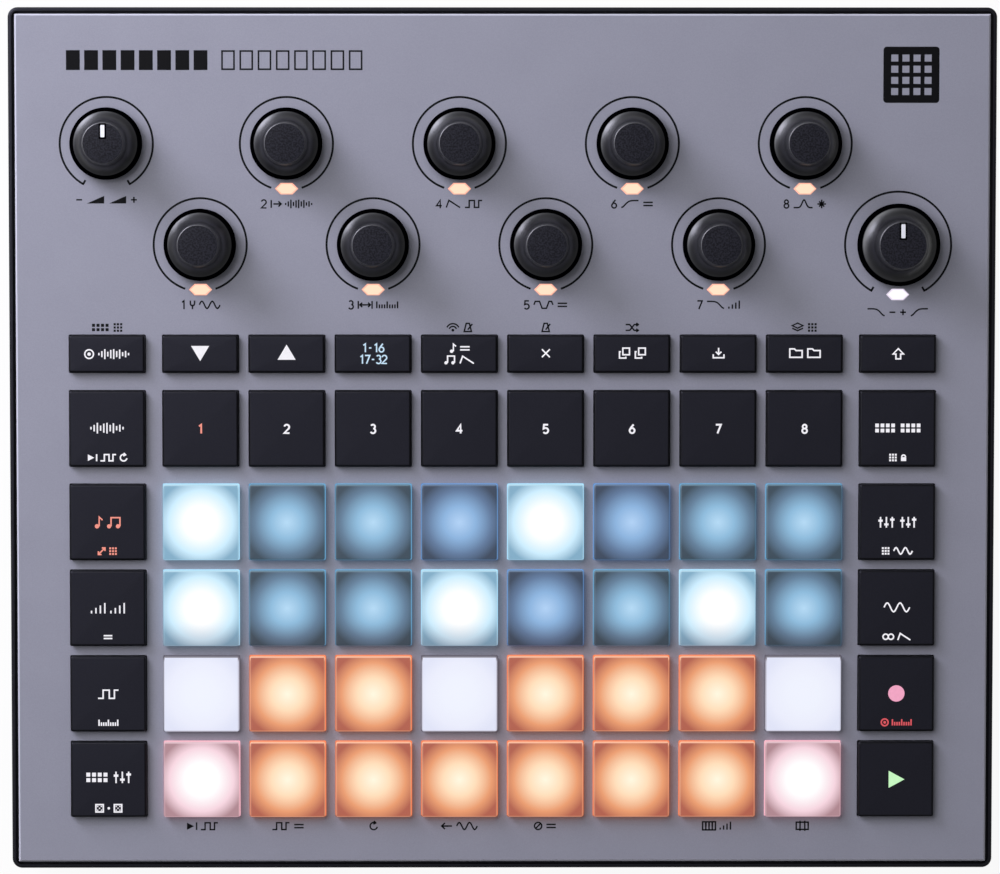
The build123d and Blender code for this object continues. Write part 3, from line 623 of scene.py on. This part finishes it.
# %% Strips and filled shapes
def strip(path, width, low, high, closed=False):
    """Line of that width along a flat path: both sides are the path plus and minus half a width across it."""
    path = np.asarray(path, float)
    if closed:
        path = np.concatenate([path, path[:1]])
    run = np.diff(path, axis=0)
    run /= np.linalg.norm(run, axis=1, keepdims=True)
    before = np.concatenate([run[-1:] if closed else run[:1], run])
    after = np.concatenate([run, run[:1] if closed else run[-1:]])
    mean = before + after
    mean /= np.maximum(np.linalg.norm(mean, axis=1, keepdims=True), 1e-6)
    across = np.stack([-mean[:, 1], mean[:, 0]], -1)
    reach = 0.5 * width / np.maximum((mean * after).sum(1, keepdims=True), 0.5)
    left, right = path + across * reach, path - across * reach
    sides = ((left, high), (right, high), (right, low), (left, low))
    grid = np.stack([np.column_stack([side, np.full(len(path), z)]) for side, z in sides], 1)
    if not closed:
        ends = [np.repeat(grid[i].mean(0)[None], 4, 0)[None] for i in (0, -1)]
        grid = np.concatenate([ends[0], grid, ends[1]])
    return shell(grid)


def solid_shape(outline, low, high):
    """Filled shape: its outline at two heights, each closed to its middle."""
    outline = np.asarray(outline, float)
    centre = np.repeat(outline.mean(0)[None], len(outline), 0)
    rings = ((centre, high), (outline, high), (outline, low), (centre, low))
    return shell(np.stack([np.column_stack([ring, np.full(len(outline), z)]) for ring, z in rings]))


def box_outline(width, height, x=0.0, y=0.0):
    """Corners of an upright rectangle round a middle."""
    return [(x + sx * width / 2, y + sy * height / 2) for sx, sy in ((1, 1), (-1, 1), (-1, -1), (1, -1))]


print("a strip along a circle has", len(strip(arc(0, 0, 10, 0, 360), 0.4, 0, 1)[1]), "quads")

# %% [markdown]
# ## A small set of signs
# Words on the keys are replaced by plain signs that any studio gear could carry: notes, waves, arrows and grids.
# Each sign is a few lines and filled shapes in a box one unit high, so it can be printed at any size.


# %% Signs
def line(*points):
    """Open line through the points."""
    return points, "open"


def loop(*points):
    """Line that comes back to its first point."""
    return points, "closed"


def solid(*points):
    """Filled shape with those corners."""
    return points, "filled"


def disc(x, y, radius, count=18):
    """Filled circle."""
    return solid(*arc(x, y, radius, 0, 360 - 360 / count, count))


def block(width, height, x=0.0, y=0.0):
    """Filled rectangle round a middle."""
    return solid(*box_outline(width, height, x, y))


def curve(half_w, heights):
    """Line through heights that are evenly spread over the sign's width."""
    return line(*np.stack([np.linspace(-half_w, half_w, len(heights)), heights], -1))


t = np.linspace(0, 1, 25)
BAR_HEIGHTS = (0.12, 0.3, 0.5, 0.24, 0.42, 0.5, 0.3, 0.46, 0.2, 0.32, 0.12)
STEP_HEIGHTS = (0.25, 0.5, 0.72, 0.95)
TRAY = line((-0.45, -0.5), (0.45, -0.5))
SIGNS = {
    "up": [solid((-0.55, -0.42), (0.55, -0.42), (0, 0.5))],
    "down": [solid((-0.55, 0.42), (0, -0.5), (0.55, 0.42))],
    "play": [solid((-0.42, -0.5), (0.5, 0), (-0.42, 0.5))],
    "wedge": [solid((-1.0, -0.42), (1.0, -0.42), (1.0, 0.45))],
    "dot": [disc(0, 0, 0.5, 36)],
    "small_dot": [disc(0, 0, 0.16)],
    "target": [loop(*arc(0, 0, 0.44, 0, 350, 36)), disc(0, 0, 0.18)],
    "wave": [curve(1.2, 0.42 * np.sin(4 * np.pi * t))],
    "bars": [line((x, -h), (x, h)) for x, h in zip(np.linspace(-1.5, 1.5, 11), BAR_HEIGHTS)],
    "note": [line((0.12, -0.34), (0.12, 0.5), (0.42, 0.22)), disc(-0.08, -0.34, 0.2)],
    "pair": [line((-0.3, -0.34), (-0.3, 0.44), (0.5, 0.44), (0.5, -0.34))]
    + [disc(x, -0.34, 0.19) for x in (-0.48, 0.32)],
    "steps": [line((x, -0.45), (x, -0.45 + h)) for x, h in zip((-0.6, -0.2, 0.2, 0.6), STEP_HEIGHTS)],
    "level": [line((-0.55, y), (0.55, y)) for y in (0.18, -0.18)],
    "gate": [line((-1, -0.4), (-0.5, -0.4), (-0.5, 0.4), (0.1, 0.4), (0.1, -0.4), (0.6, -0.4), (0.6, 0.4), (1, 0.4))],
    "ticks": [line((x, -0.4), (x, 0.05 if i % 4 else 0.4)) for i, x in enumerate(np.linspace(-1.2, 1.2, 9))],
    "sliders": [line((x, -0.5), (x, 0.5)) for x in (-0.55, 0, 0.55)]
    + [block(0.4, 0.2, x, y) for x, y in ((-0.55, 0.15), (0, -0.2), (0.55, 0.25))],
    "die": [loop(*box_outline(0.95, 0.95))]
    + [disc(x, y, 0.09, 12) for x, y in ((-0.24, 0.24), (0.24, -0.24), (0, 0), (0.24, 0.24), (-0.24, -0.24))],
    "grid": [block(0.24, 0.24, x, y) for x in (-0.36, 0, 0.36) for y in (-0.36, 0, 0.36)],
    "row": [block(0.34, 0.34, x, y) for x in (-0.75, -0.25, 0.25, 0.75) for y in (-0.24, 0.24)],
    "cross": [line((-0.4, -0.4), (0.4, 0.4)), line((-0.4, 0.4), (0.4, -0.4))],
    "copy": [loop(*box_outline(0.62, 0.62, 0.17, 0.17))]
    + [line((-0.32, 0.14), (-0.45, 0.14), (-0.45, -0.45), (0.14, -0.45), (0.14, -0.32))],
    "store": [line((0, 0.5), (0, -0.1)), line((-0.26, 0.14), (0, -0.12), (0.26, 0.14))]
    + [line((-0.5, -0.1), (-0.5, -0.42), (0.5, -0.42), (0.5, -0.1))],
    "folder": [loop((-0.6, -0.4), (-0.6, 0.42), (-0.15, 0.42), (0, 0.26), (0.6, 0.26), (0.6, -0.4))],
    "shift": [loop((-0.22, -0.45), (-0.22, 0), (-0.5, 0), (0, 0.5), (0.5, 0), (0.22, 0), (0.22, -0.45))],
    "lock": [line(*arc(0, 0.08, 0.24, 0, 180, 16)), block(0.66, 0.5, 0, -0.2)],
    "expand": [line((-0.42, -0.42), (0.42, 0.42)), line((0.02, 0.42), (0.42, 0.42), (0.42, 0.02))]
    + [line((-0.42, -0.02), (-0.42, -0.42), (-0.02, -0.42))],
    "spark": [line((-x, -y), (x, y)) for x, y in ((0, 0.5), (0.5, 0), (0.3, 0.3), (0.3, -0.3))],
    "links": [loop(*arc(x, 0, 0.34, 0, 350, 30)) for x in (-0.34, 0.34)],
    "beat": [loop((-0.4, -0.45), (0.4, -0.45), (0.18, 0.45), (-0.18, 0.45)), line((0, -0.25), (0.5, 0.4))],
    "tap": [line(*arc(0, -0.3, 0.42, 20, 160, 18)), line(*arc(0, -0.3, 0.72, 25, 155, 22)), disc(0, -0.3, 0.16)],
    "shuffle": [line((-0.7, -y), (-0.25, -y), (0.25, y), (0.7, y)) for y in (0.32, -0.32)]
    + [line((0.48, s * 0.5), (0.7, s * 0.32), (0.48, s * 0.14)) for s in (1, -1)],
    "layers": [loop((-0.6, 0.2), (0, 0.48), (0.6, 0.2), (0, -0.08)), line((-0.6, -0.08), (0, -0.36), (0.6, -0.08))],
    "shot": [line((0.62, 0.45), (0.62, -0.45)), solid((-0.5, -0.42), (0.32, 0), (-0.5, 0.42))],
    "loop": [line(*arc(0, 0, 0.42, 60, 350, 40)), line((0.02, 0.6), (0.24, 0.37), (-0.04, 0.22))],
    "back": [line((-0.6, 0), (0.6, 0)), line((-0.22, 0.36), (-0.6, 0), (-0.22, -0.36))],
    "choke": [loop(*arc(0, 0, 0.42, 0, 350, 36)), line((-0.3, -0.3), (0.3, 0.3))],
    "piano": [loop(*box_outline(1.5, 0.95))]
    + [line((x, -0.45), (x, 0)) for x in (-0.375, 0, 0.375)]
    + [block(0.2, 0.55, x, 0.2) for x in (-0.375, 0, 0.375)],
    "slice": [loop(*box_outline(1.4, 0.85)), line((-0.25, -0.6), (-0.25, 0.6)), line((0.3, -0.6), (0.3, 0.6))],
    "fork": [line((0, -0.5), (0, -0.08))]
    + [line((-0.24, 0.5), (-0.24, 0.1), (-0.14, -0.06), (0.14, -0.06), (0.24, 0.1), (0.24, 0.5))],
    "start": [line((-0.55, 0.45), (-0.55, -0.45)), line((-0.3, 0), (0.6, 0))]
    + [line((0.28, 0.3), (0.6, 0), (0.28, -0.3))],
    "span": [line((x, 0.45), (x, -0.45)) for x in (-0.8, 0.8)]
    + [line((-0.6, 0), (0.6, 0))]
    + [line((s * 0.34, 0.26), (s * 0.6, 0), (s * 0.34, -0.26)) for s in (-1, 1)],
    "slope": [line((-0.8, -0.42), (-0.5, 0.42), (0.8, -0.42))],
    "clipped": [line(
        (-1.1, 0), (-0.95, 0.4), (-0.45, 0.4), (-0.15, -0.4), (0.35, -0.4), (0.65, 0.4), (0.95, 0.4), (1.1, 0)
    )],
    "high_pass": [curve(1.0, 0.4 - 0.8 * np.exp(-((3.2 * t) ** 2)))],
    "low_pass": [curve(1.0, 0.4 - 0.8 * np.exp(-((3.2 * (1 - t)) ** 2)))],
    "peak": [curve(1.1, 0.9 * np.exp(-((7 * (t - 0.55)) ** 2)) - 0.42)],
    "plus": [line((-0.34, 0), (0.34, 0)), line((0, -0.34), (0, 0.34))],
    "minus": [line((-0.34, 0), (0.34, 0))],
    "phones": [line(*arc(0, -0.05, 0.46, 0, 180, 24))] + [block(0.22, 0.42, x, -0.26) for x in (-0.44, 0.44)],
    "into": [line((0, 0.5), (0, -0.3)), line((-0.28, -0.02), (0, -0.32), (0.28, -0.02)), TRAY],
    "out_of": [line((0, -0.3), (0, 0.5)), line((-0.28, 0.2), (0, 0.5), (0.28, 0.2)), TRAY],
    "power": [line(*arc(0, -0.02, 0.42, 120, 420, 36)), line((0, 0.05), (0, 0.52))],
}
print("signs drawn:", len(SIGNS))

# %% [markdown]
# ## Numerals
# Keys and knobs are numbered. A font could give the digits, but as strokes they get the same line as the signs.


# %% Digits
def oval(y, half_w, half_h):
    """Closed oval of 30 points."""
    return loop(*(arc(0, 0, 1.0, 0, 348, 30) * (half_w, half_h) + (0, y)))


NUMERALS = {
    "1": [line((-0.14, 0.29), (0.09, 0.47), (0.09, -0.5))],
    "2": [line(*arc(0, 0.2, 0.27, 165, -32, 14), (-0.28, -0.46), (0.3, -0.46))],
    "3": [line(*arc(-0.02, 0.24, 0.23, 150, -80, 12)), line(*arc(-0.02, -0.21, 0.27, 80, -155, 14))],
    "4": [line((0.13, -0.5), (0.13, 0.46), (-0.3, -0.2), (0.32, -0.2))],
    "5": [line((0.25, 0.46), (-0.2, 0.46), (-0.24, 0.03), *arc(-0.02, -0.19, 0.29, 110, -145, 14))],
    "6": [oval(-0.19, 0.27, 0.28), line((0.17, 0.48), (-0.08, 0.2), (-0.25, -0.1))],
    "7": [line((-0.28, 0.46), (0.28, 0.46), (-0.1, -0.5))],
    "8": [oval(0.24, 0.21, 0.22), oval(-0.22, 0.26, 0.25)],
    "-": [line((-0.14, 0), (0.14, 0))],
}
SIGNS.update(NUMERALS)
print("numerals:", "".join(NUMERALS))

# %% [markdown]
# ## Setting a row of signs
# Signs beside each other are set like type: each takes its own width, with an even gap, and the row is centred.

# %% Rows of signs
SIGN_GAP = 0.55
DIGIT_PITCH, DIGIT_GAP = 0.68, 0.12


def width_of(name):
    """Width of a sign in its own units. A number is as wide as its digits."""
    if name[0].isdigit():
        return DIGIT_PITCH * len(name) - DIGIT_GAP
    across = np.concatenate([np.asarray(points, float)[:, 0] for points, _ in SIGNS[name]])
    return float(np.ptp(across))


def signs(text, x, y, height, width, low, high):
    """Shells of the signs named in the text, centred on x, y. A number is set digit by digit."""
    names = text.split()
    cursor = -(sum(map(width_of, names)) + SIGN_GAP * (len(names) - 1)) / 2
    shells = []
    for name in names:
        marks = name if name[0].isdigit() else [name]
        step = width_of(name) / len(marks)
        for i, mark in enumerate(marks):
            centre = np.array([x + (cursor + step * (i + 0.5)) * height, y])
            for points, kind in SIGNS[mark]:
                path = np.asarray(points, float) * height + centre
                if kind == "filled":
                    shells.append(solid_shape(path, low, high))
                else:
                    shells.append(strip(path, width, low, high, kind == "closed"))
        cursor += width_of(name) + SIGN_GAP
    return shells


print("the sign for a note is", round(width_of("note"), 2), "units wide")

# %% [markdown]
# ## Rings on the panel
# Black ink on the paint: each knob stands in a ring that stays open in front, where its lamp is.
# The two knobs with end stops have small ticks at the ends of their rings.

# %% Ink and rings
ink = Finish("panel_ink", (8, 8, 10), roughness=0.5, specular_ior_level=0.12)
where = ink.where()
ink.bump(ink.grain(where, 0.25), 0.003)
ink.set(base_color=ink.blend(ink.grain(where, 0.5), (5, 5, 7), (12, 12, 15)))
INK = (PANEL_Z - 0.05, PANEL_Z + 0.015)  # from inside the paint to the top of the print
RING_LINE = 0.5
RING_R, FILTER_RING_R = 11.3, 12.9
LAMP_GAP, STOP_GAP = 19, 30  # half the opening in degrees, with a lamp in it or between end stops


def ring_print(x, y, radius, opening, ticks):
    """Open ring under a knob, with an inward tick at each end where the knob has stops."""
    ends = (opening - 90, 270 - opening)
    shells = [strip(arc(x, y, radius, *ends, 120), RING_LINE, *INK)]
    for angle in ends if ticks else ():
        a = math.radians(angle)
        tick = [(x + r * math.cos(a), y + r * math.sin(a)) for r in (radius + 0.2, radius - 1.1)]
        shells.append(strip(tick, RING_LINE, *INK))
    return shells


rings = []
for name in KNOB_R:
    radius = FILTER_RING_R if name == "filter_knob" else RING_R
    endless = name.startswith("macro")
    rings += ring_print(*middle(name), radius, LAMP_GAP if endless else STOP_GAP, not endless)
piece("knob_rings", rings, ink, "housing")
print("rings:", len(KNOB_R))

# %% [markdown]
# ## Signs on the panel
# Under each small knob stand its number and two signs. The volume and the filter knob have a sign at each end of
# their range. Keys with a second use have a small sign over or under them.

# %% Panel signs
SIGN_LINE = 0.36
KNOB_SIGNS = (
    "fork wave", "start bars", "span ticks", "slope gate",
    "clipped level", "high_pass level", "low_pass steps", "peak spark",
)
ABOVE = {
    -SIDE_X: "row grid", COLUMN_X[3]: "tap beat", COLUMN_X[4]: "beat", COLUMN_X[5]: "shuffle",
    COLUMN_X[7]: "layers grid",
}
BELOW = ("shot gate", "gate level", "loop", "back wave", "choke level", "", "piano steps", "slice")


def under(knob, drop):
    """Place that far in front of a knob's middle."""
    x, y = middle(knob)
    return x, y - drop


rows = [(f"{i + 1} {text}", under(f"macro_knob_{i + 1}", 14.6), 2.1) for i, text in enumerate(KNOB_SIGNS)]
rows += [("minus wedge wedge plus", under("volume_knob", 13.6), 2.1)]
rows += [("low_pass minus plus high_pass", under("filter_knob", 16.4), 2.1)]
rows += [(text, (x, 27.4), 2.2) for x, text in ABOVE.items()]
rows += [(text, (x, -94.7), 2.1) for x, text in zip(COLUMN_X, BELOW)]
prints = [shape for text, place, height in rows for shape in signs(text, *place, height, SIGN_LINE, *INK)]
piece("panel_signs", prints, ink, "housing")
print("printed shells:", len(prints))

# %% [markdown]
# ## Scale and badge
# A scale of eight full and eight open bars stands at the rear left, and a plain square of dots at the rear right.
# The dots are bare paint in the ink, so they take the panel's own finish.

# %% Bars and dots
BAR_PITCH, FULL_X, OPEN_X, SCALE_Y = 4.42, -104.2, -66.6, 92.2
BADGE_X, BADGE_Y, DOT_PITCH = 99.2, 88.7, 2.7
bars = []
for i in range(8):
    bars.append(solid_shape(box_outline(3.35, 4.8, FULL_X + i * BAR_PITCH, SCALE_Y), *INK))
    bars.append(strip(box_outline(2.9, 4.4, OPEN_X + i * BAR_PITCH, SCALE_Y), 0.4, *INK, True))
piece("step_scale", bars, ink, "housing")
side = [0, 6.8, 6.8, 0]
badge = stacked(side, side, [0, 0.8, 0.8, 0], [INK[1], INK[1], INK[0], INK[0]], BADGE_X, BADGE_Y)
piece("badge_plate", [badge], ink, "housing")
steps = DOT_PITCH * np.array([-1.5, -0.5, 0.5, 1.5])
dots = [
    solid_shape(box_outline(1.7, 1.7, BADGE_X + a, BADGE_Y + b), INK[0], INK[1] + 0.012)
    for a in steps for b in steps
]
piece("badge_grid", dots, plate, "housing")
print("bars:", len(bars), "and dots:", len(dots))

# %% [markdown]
# ## Signs on the keys
# These are clear windows in the black, lit from below, so their colour comes from emission.
# They are printed like the panel's signs, but ride on the strip of keys that carries them.


# %% Light in the signs
def lit_sign(name, colour):
    """Window in a key: a dark film that gives off its colour evenly."""
    finish = Finish("sign_" + name, (30, 30, 34), roughness=0.4, emission_strength=1.0)
    even = finish.grain(finish.where(), 0.8)
    dim = tuple(0.92 * v for v in colour)
    finish.set(emission_color=finish.blend(even, dim, colour))
    return finish


SIGN_COLOURS = {
    "white": (250, 248, 255), "salmon": (252, 152, 134), "pink": (248, 168, 199),
    "red": (226, 84, 92), "green": (204, 255, 198), "blue": (200, 228, 250),
}
SIGN_FINISHES = {name: lit_sign(name, colour) for name, colour in SIGN_COLOURS.items()}
print("sign colours:", ", ".join(SIGN_FINISHES))

# %% [markdown]
# ## Which sign goes where
# The signs of one colour on one strip of keys make one piece. Each entry gives the key's number in its strip, how far
# behind its middle the sign stands, its height and its marks. Most square side keys have a smaller sign in front.

# %% Lit signs
SECOND = (-7.0, 1.9)  # place and height of the smaller sign in front
KEY_LINE, NUMERAL_LINE = 0.35, 0.44
FILM = (BUTTON_Z - 0.2, BUTTON_Z + 0.01)  # from inside the key to the top of its signs
KEY_SIGNS = {
    ("left_buttons", "white"): [
        (0, 0.0, 2.4, "target bars"), (1, 0.2, 2.6, "bars"), (1, *SECOND, "shot gate loop"),
        (3, 0.0, 2.7, "steps steps"), (3, *SECOND, "level"), (4, 0.0, 2.5, "gate"), (4, *SECOND, "ticks"),
        (5, 0.6, 2.8, "row sliders"), (5, *SECOND, "die small_dot die"),
    ],
    ("left_buttons", "salmon"): [(2, 0.0, 2.7, "note pair"), (2, *SECOND, "expand grid")],
    ("right_buttons", "white"): [
        (0, 0.0, 2.6, "shift"), (1, 0.2, 2.6, "row row"), (1, *SECOND, "grid lock"), (2, 0.0, 2.6, "sliders sliders"),
        (2, *SECOND, "grid wave"), (3, 0.2, 2.6, "wave"), (3, *SECOND, "links slope"),
    ],
    ("right_buttons", "pink"): [(4, 0.1, 4.0, "dot")],
    ("right_buttons", "red"): [(4, *SECOND, "target ticks")],
    ("right_buttons", "green"): [(5, 0.0, 4.2, "play")],
    ("menu_buttons", "white"): [
        (0, 0.3, 4.0, "down"), (1, 0.3, 4.0, "up"), (3, 1.4, 2.1, "note level"), (3, -1.4, 2.1, "pair slope"),
        (4, 0.2, 2.4, "cross"), (5, 0.2, 2.6, "copy copy"), (6, 0.2, 2.6, "store"), (7, 0.2, 2.5, "folder folder"),
    ],
    ("menu_buttons", "blue"): [(2, 1.5, 2.1, "1-16"), (2, -1.3, 2.1, "17-32")],
    ("track_buttons", "salmon"): [(0, 0.0, 2.2, "1")],
    ("track_buttons", "white"): [(i, 0.0, 2.2, str(i + 1)) for i in range(1, 8)],
}
for (strip_name, colour), entries in KEY_SIGNS.items():
    width = NUMERAL_LINE if strip_name == "track_buttons" else KEY_LINE
    shells = []
    for key_number, behind, height, text in entries:
        x, y, _ = STRIPS[strip_name][key_number]
        shells += signs(text, x, y + behind, height, width, *FILM)
    piece(f"{strip_name}_signs_{colour}", shells, SIGN_FINISHES[colour], strip_name)
print("pieces with lit signs:", len(KEY_SIGNS))

# %% [markdown]
# ## Lamp windows
# A small clear hexagon in front of each knob shows an LED: near white in the middle, and a warm pink at its edge.
# The filter knob's window is cold white.
# The hexagon is the larger of two distances: the one to its long sides, and a sloping one to its points.

# %% Lamp lens
LAMP_PITCH, LAMP_Y, WHITE_Y = 24.5, 36.6, 35.4
HEX_D, HEX_W, HEX_SLOPE = 1.3, 2.75, 1.0769
lens = Finish("lamp_lens", (40, 26, 24), roughness=0.25, emission_strength=1.1)
_, x, y, _ = lens.place()
at_filter = x.over(90.0)
elsewhere = 1.0 - at_filter
across = (x.from_middle(PITCH, COLUMN_X[0]) * elsewhere + (x - SIDE_X) * at_filter).size()
along = (y.from_middle(LAMP_PITCH, LAMP_Y) * elsewhere + (y - WHITE_Y) * at_filter).size()
edge = (along / HEX_D).most((across + along * HEX_SLOPE) / HEX_W).rise(0.78, 1.0)
warm = lens.blend(edge, (255, 219, 190), (250, 176, 152))
cold = lens.blend(edge, (250, 246, 255), (214, 204, 222))
lens.set(emission_color=lens.blend(at_filter, warm, cold))
print(lens.material.name, len(lens.tree.nodes), "nodes")

# %% [markdown]
# ## Inside and behind
# The boards, sockets, battery, feet and screws are hard to see, so their finishes are short: two close tones mixed
# by noise, and a relief.


# %% Small finishes
def plain_finish(name, dark, light, size, depth, rough, **uniform):
    """Two close tones mixed by noise of one size, with the same noise as relief."""
    finish = Finish(name, dark, **uniform)
    where = finish.where()
    noise = finish.grain(where, size)
    finish.set(base_color=finish.blend(noise, dark, light))
    finish.bump(noise, depth)
    finish.wear(where, rough, 0.05)
    return finish


board = plain_finish("circuit_board", (12, 44, 32), (22, 66, 48), 1.2, 0.01, 0.4)
socket = plain_finish("socket_plastic", (12, 12, 14), (24, 24, 27), 0.4, 0.012, 0.38)
port = plain_finish("port_shell", (150, 150, 155), (186, 186, 192), 0.6, 0.006, 0.3, metallic=1.0)
wrap = plain_finish("battery_wrap", (24, 50, 96), (34, 66, 120), 3.0, 0.01, 0.4)
foot = plain_finish("foot_rubber", (20, 20, 22), (34, 34, 36), 0.5, 0.03, 0.7)
screw = plain_finish("screw_steel", (70, 70, 74), (104, 104, 110), 0.5, 0.005, 0.35, metallic=1.0)
DRESSED = {
    "bottom_case": case, "upper_case": case, "top_panel": plate, "control_board": board, "main_board": board,
    "rotary_controls": steel, "jack_sockets": socket, "midi_sockets": socket, "data_ports": port,
    "battery_pack": wrap, "rubber_feet": foot, "case_screws": screw, "light_pipes": lens, "power_button": button,
}
for name, finish in DRESSED.items():
    for holder in NODES[name].material_slots:
        holder.material = finish.material
print("finishes given to", len(DRESSED), "solids")

# %% [markdown]
# ## Signs behind
# The rear wall has a small grey sign over each socket: arrows for sound out and in, phones, and the power mark.

# %% Rear signs
REAR_Y = 105.0
grey_ink = plain_finish("rear_ink", (150, 150, 156), (172, 172, 178), 0.5, 0.002, 0.5)


def on_rear(shells):
    """Turns shells drawn flat so that they stand on the rear wall: their x is mirrored and y becomes height."""
    return [(np.column_stack([-p[:, 0], REAR_Y - 0.05 + p[:, 2], p[:, 1]]), f) for p, f in shells]


REAR_SIGNS = {
    -97.0: "out_of", -80.0: "out_of", -63.0: "into", -46.0: "into", -31.0: "phones",
    -12.0: "into pair", 9.0: "out_of pair", 30.0: "start pair",
    46.0: "gate", 60.0: "store", 77.0: "span", 95.0: "power",
}
rear = []
for x, text in REAR_SIGNS.items():
    rear += on_rear(signs(text, -x, 23.4, 1.7, 0.24, 0.0, 0.065))
piece("rear_signs", rear, grey_ink, "housing")
print("rear signs:", len(REAR_SIGNS))

# %% [markdown]
# ## The floor
# A pale floor carries the machine. Most of what the camera sees of it is an even white glow. The rest is a real
# matt surface, which keeps the soft shadow.

# %% Floor
FLOOR = 16.0
floor_mesh = bpy.data.meshes.new("floor")
floor_mesh.from_pydata([(*corner, 0.0) for corner in box_outline(FLOOR, FLOOR)], [], [(0, 1, 2, 3)])
floor = add("floor", floor_mesh)
ground = Finish("floor_white", (240, 240, 242), roughness=0.9)
shown = ground.node("LightPath", output="Is Camera Ray").most(ground.node("LightPath", output="Is Glossy Ray"))
white = ground.node("Emission", {"Color": (1, 1, 1, 1), "Strength": 1.0})
mixed = ground.node("MixShader", {0: shown * 0.93, 1: Signal(ground, ground.shader.outputs[0]), 2: white})
ground.tree.links.new(mixed.socket, ground.tree.nodes["Material Output"].inputs[0])
floor_mesh.materials.append(ground.material)
print("floor is", floor.dimensions.x, "m wide")

# %% [markdown]
# ## Lamps
# A small soft lamp stands low behind on the left. It draws the highlights on the knobs and the long shadows.
# A wide one hangs high on the same side and lights the panel.


# %% Lamps
def soft_lamp(name, place, width, height, power, tint):
    """Rectangular lamp that faces the middle of the machine."""
    data = bpy.data.lights.new(name, "AREA")
    data.shape = "RECTANGLE"
    data.size, data.size_y = width, height
    data.energy, data.color = power, tint
    lamp = add(name, data)
    lamp.location = place
    lamp.rotation_euler = (-lamp.location).to_track_quat("-Z", "Y").to_euler()


soft_lamp("key_lamp", (-0.53, 0.49, 0.33), 0.34, 0.4, 4.9, (0.84, 0.84, 1.0))
soft_lamp("high_lamp", (-0.41, 0.38, 0.84), 1.1, 0.5, 5.9, (0.93, 0.93, 1.0))

# %% [markdown]
# ## Sky
# The sky is dim, and darker at the horizon than overhead, so the upright sides of the knobs and keys stay black.

# %% Sky
world = bpy.data.worlds.new("sky")
bpy.context.scene.world = world
world.use_nodes = True
tree = world.node_tree
sky = tree.nodes["Background"]
sky.inputs["Color"].default_value = (0.97, 0.98, 1.0, 1.0)
upward, split, brighter = (tree.nodes.new("ShaderNode" + kind) for kind in ("TexCoord", "SeparateXYZ", "MapRange"))
brighter.inputs["To Min"].default_value = 0.04
brighter.inputs["To Max"].default_value = 0.265
tree.links.new(upward.outputs["Generated"], split.inputs[0])
tree.links.new(split.outputs["Z"], brighter.inputs["Value"])
tree.links.new(brighter.outputs["Result"], sky.inputs["Strength"])
print("sky:", len(tree.nodes), "nodes")
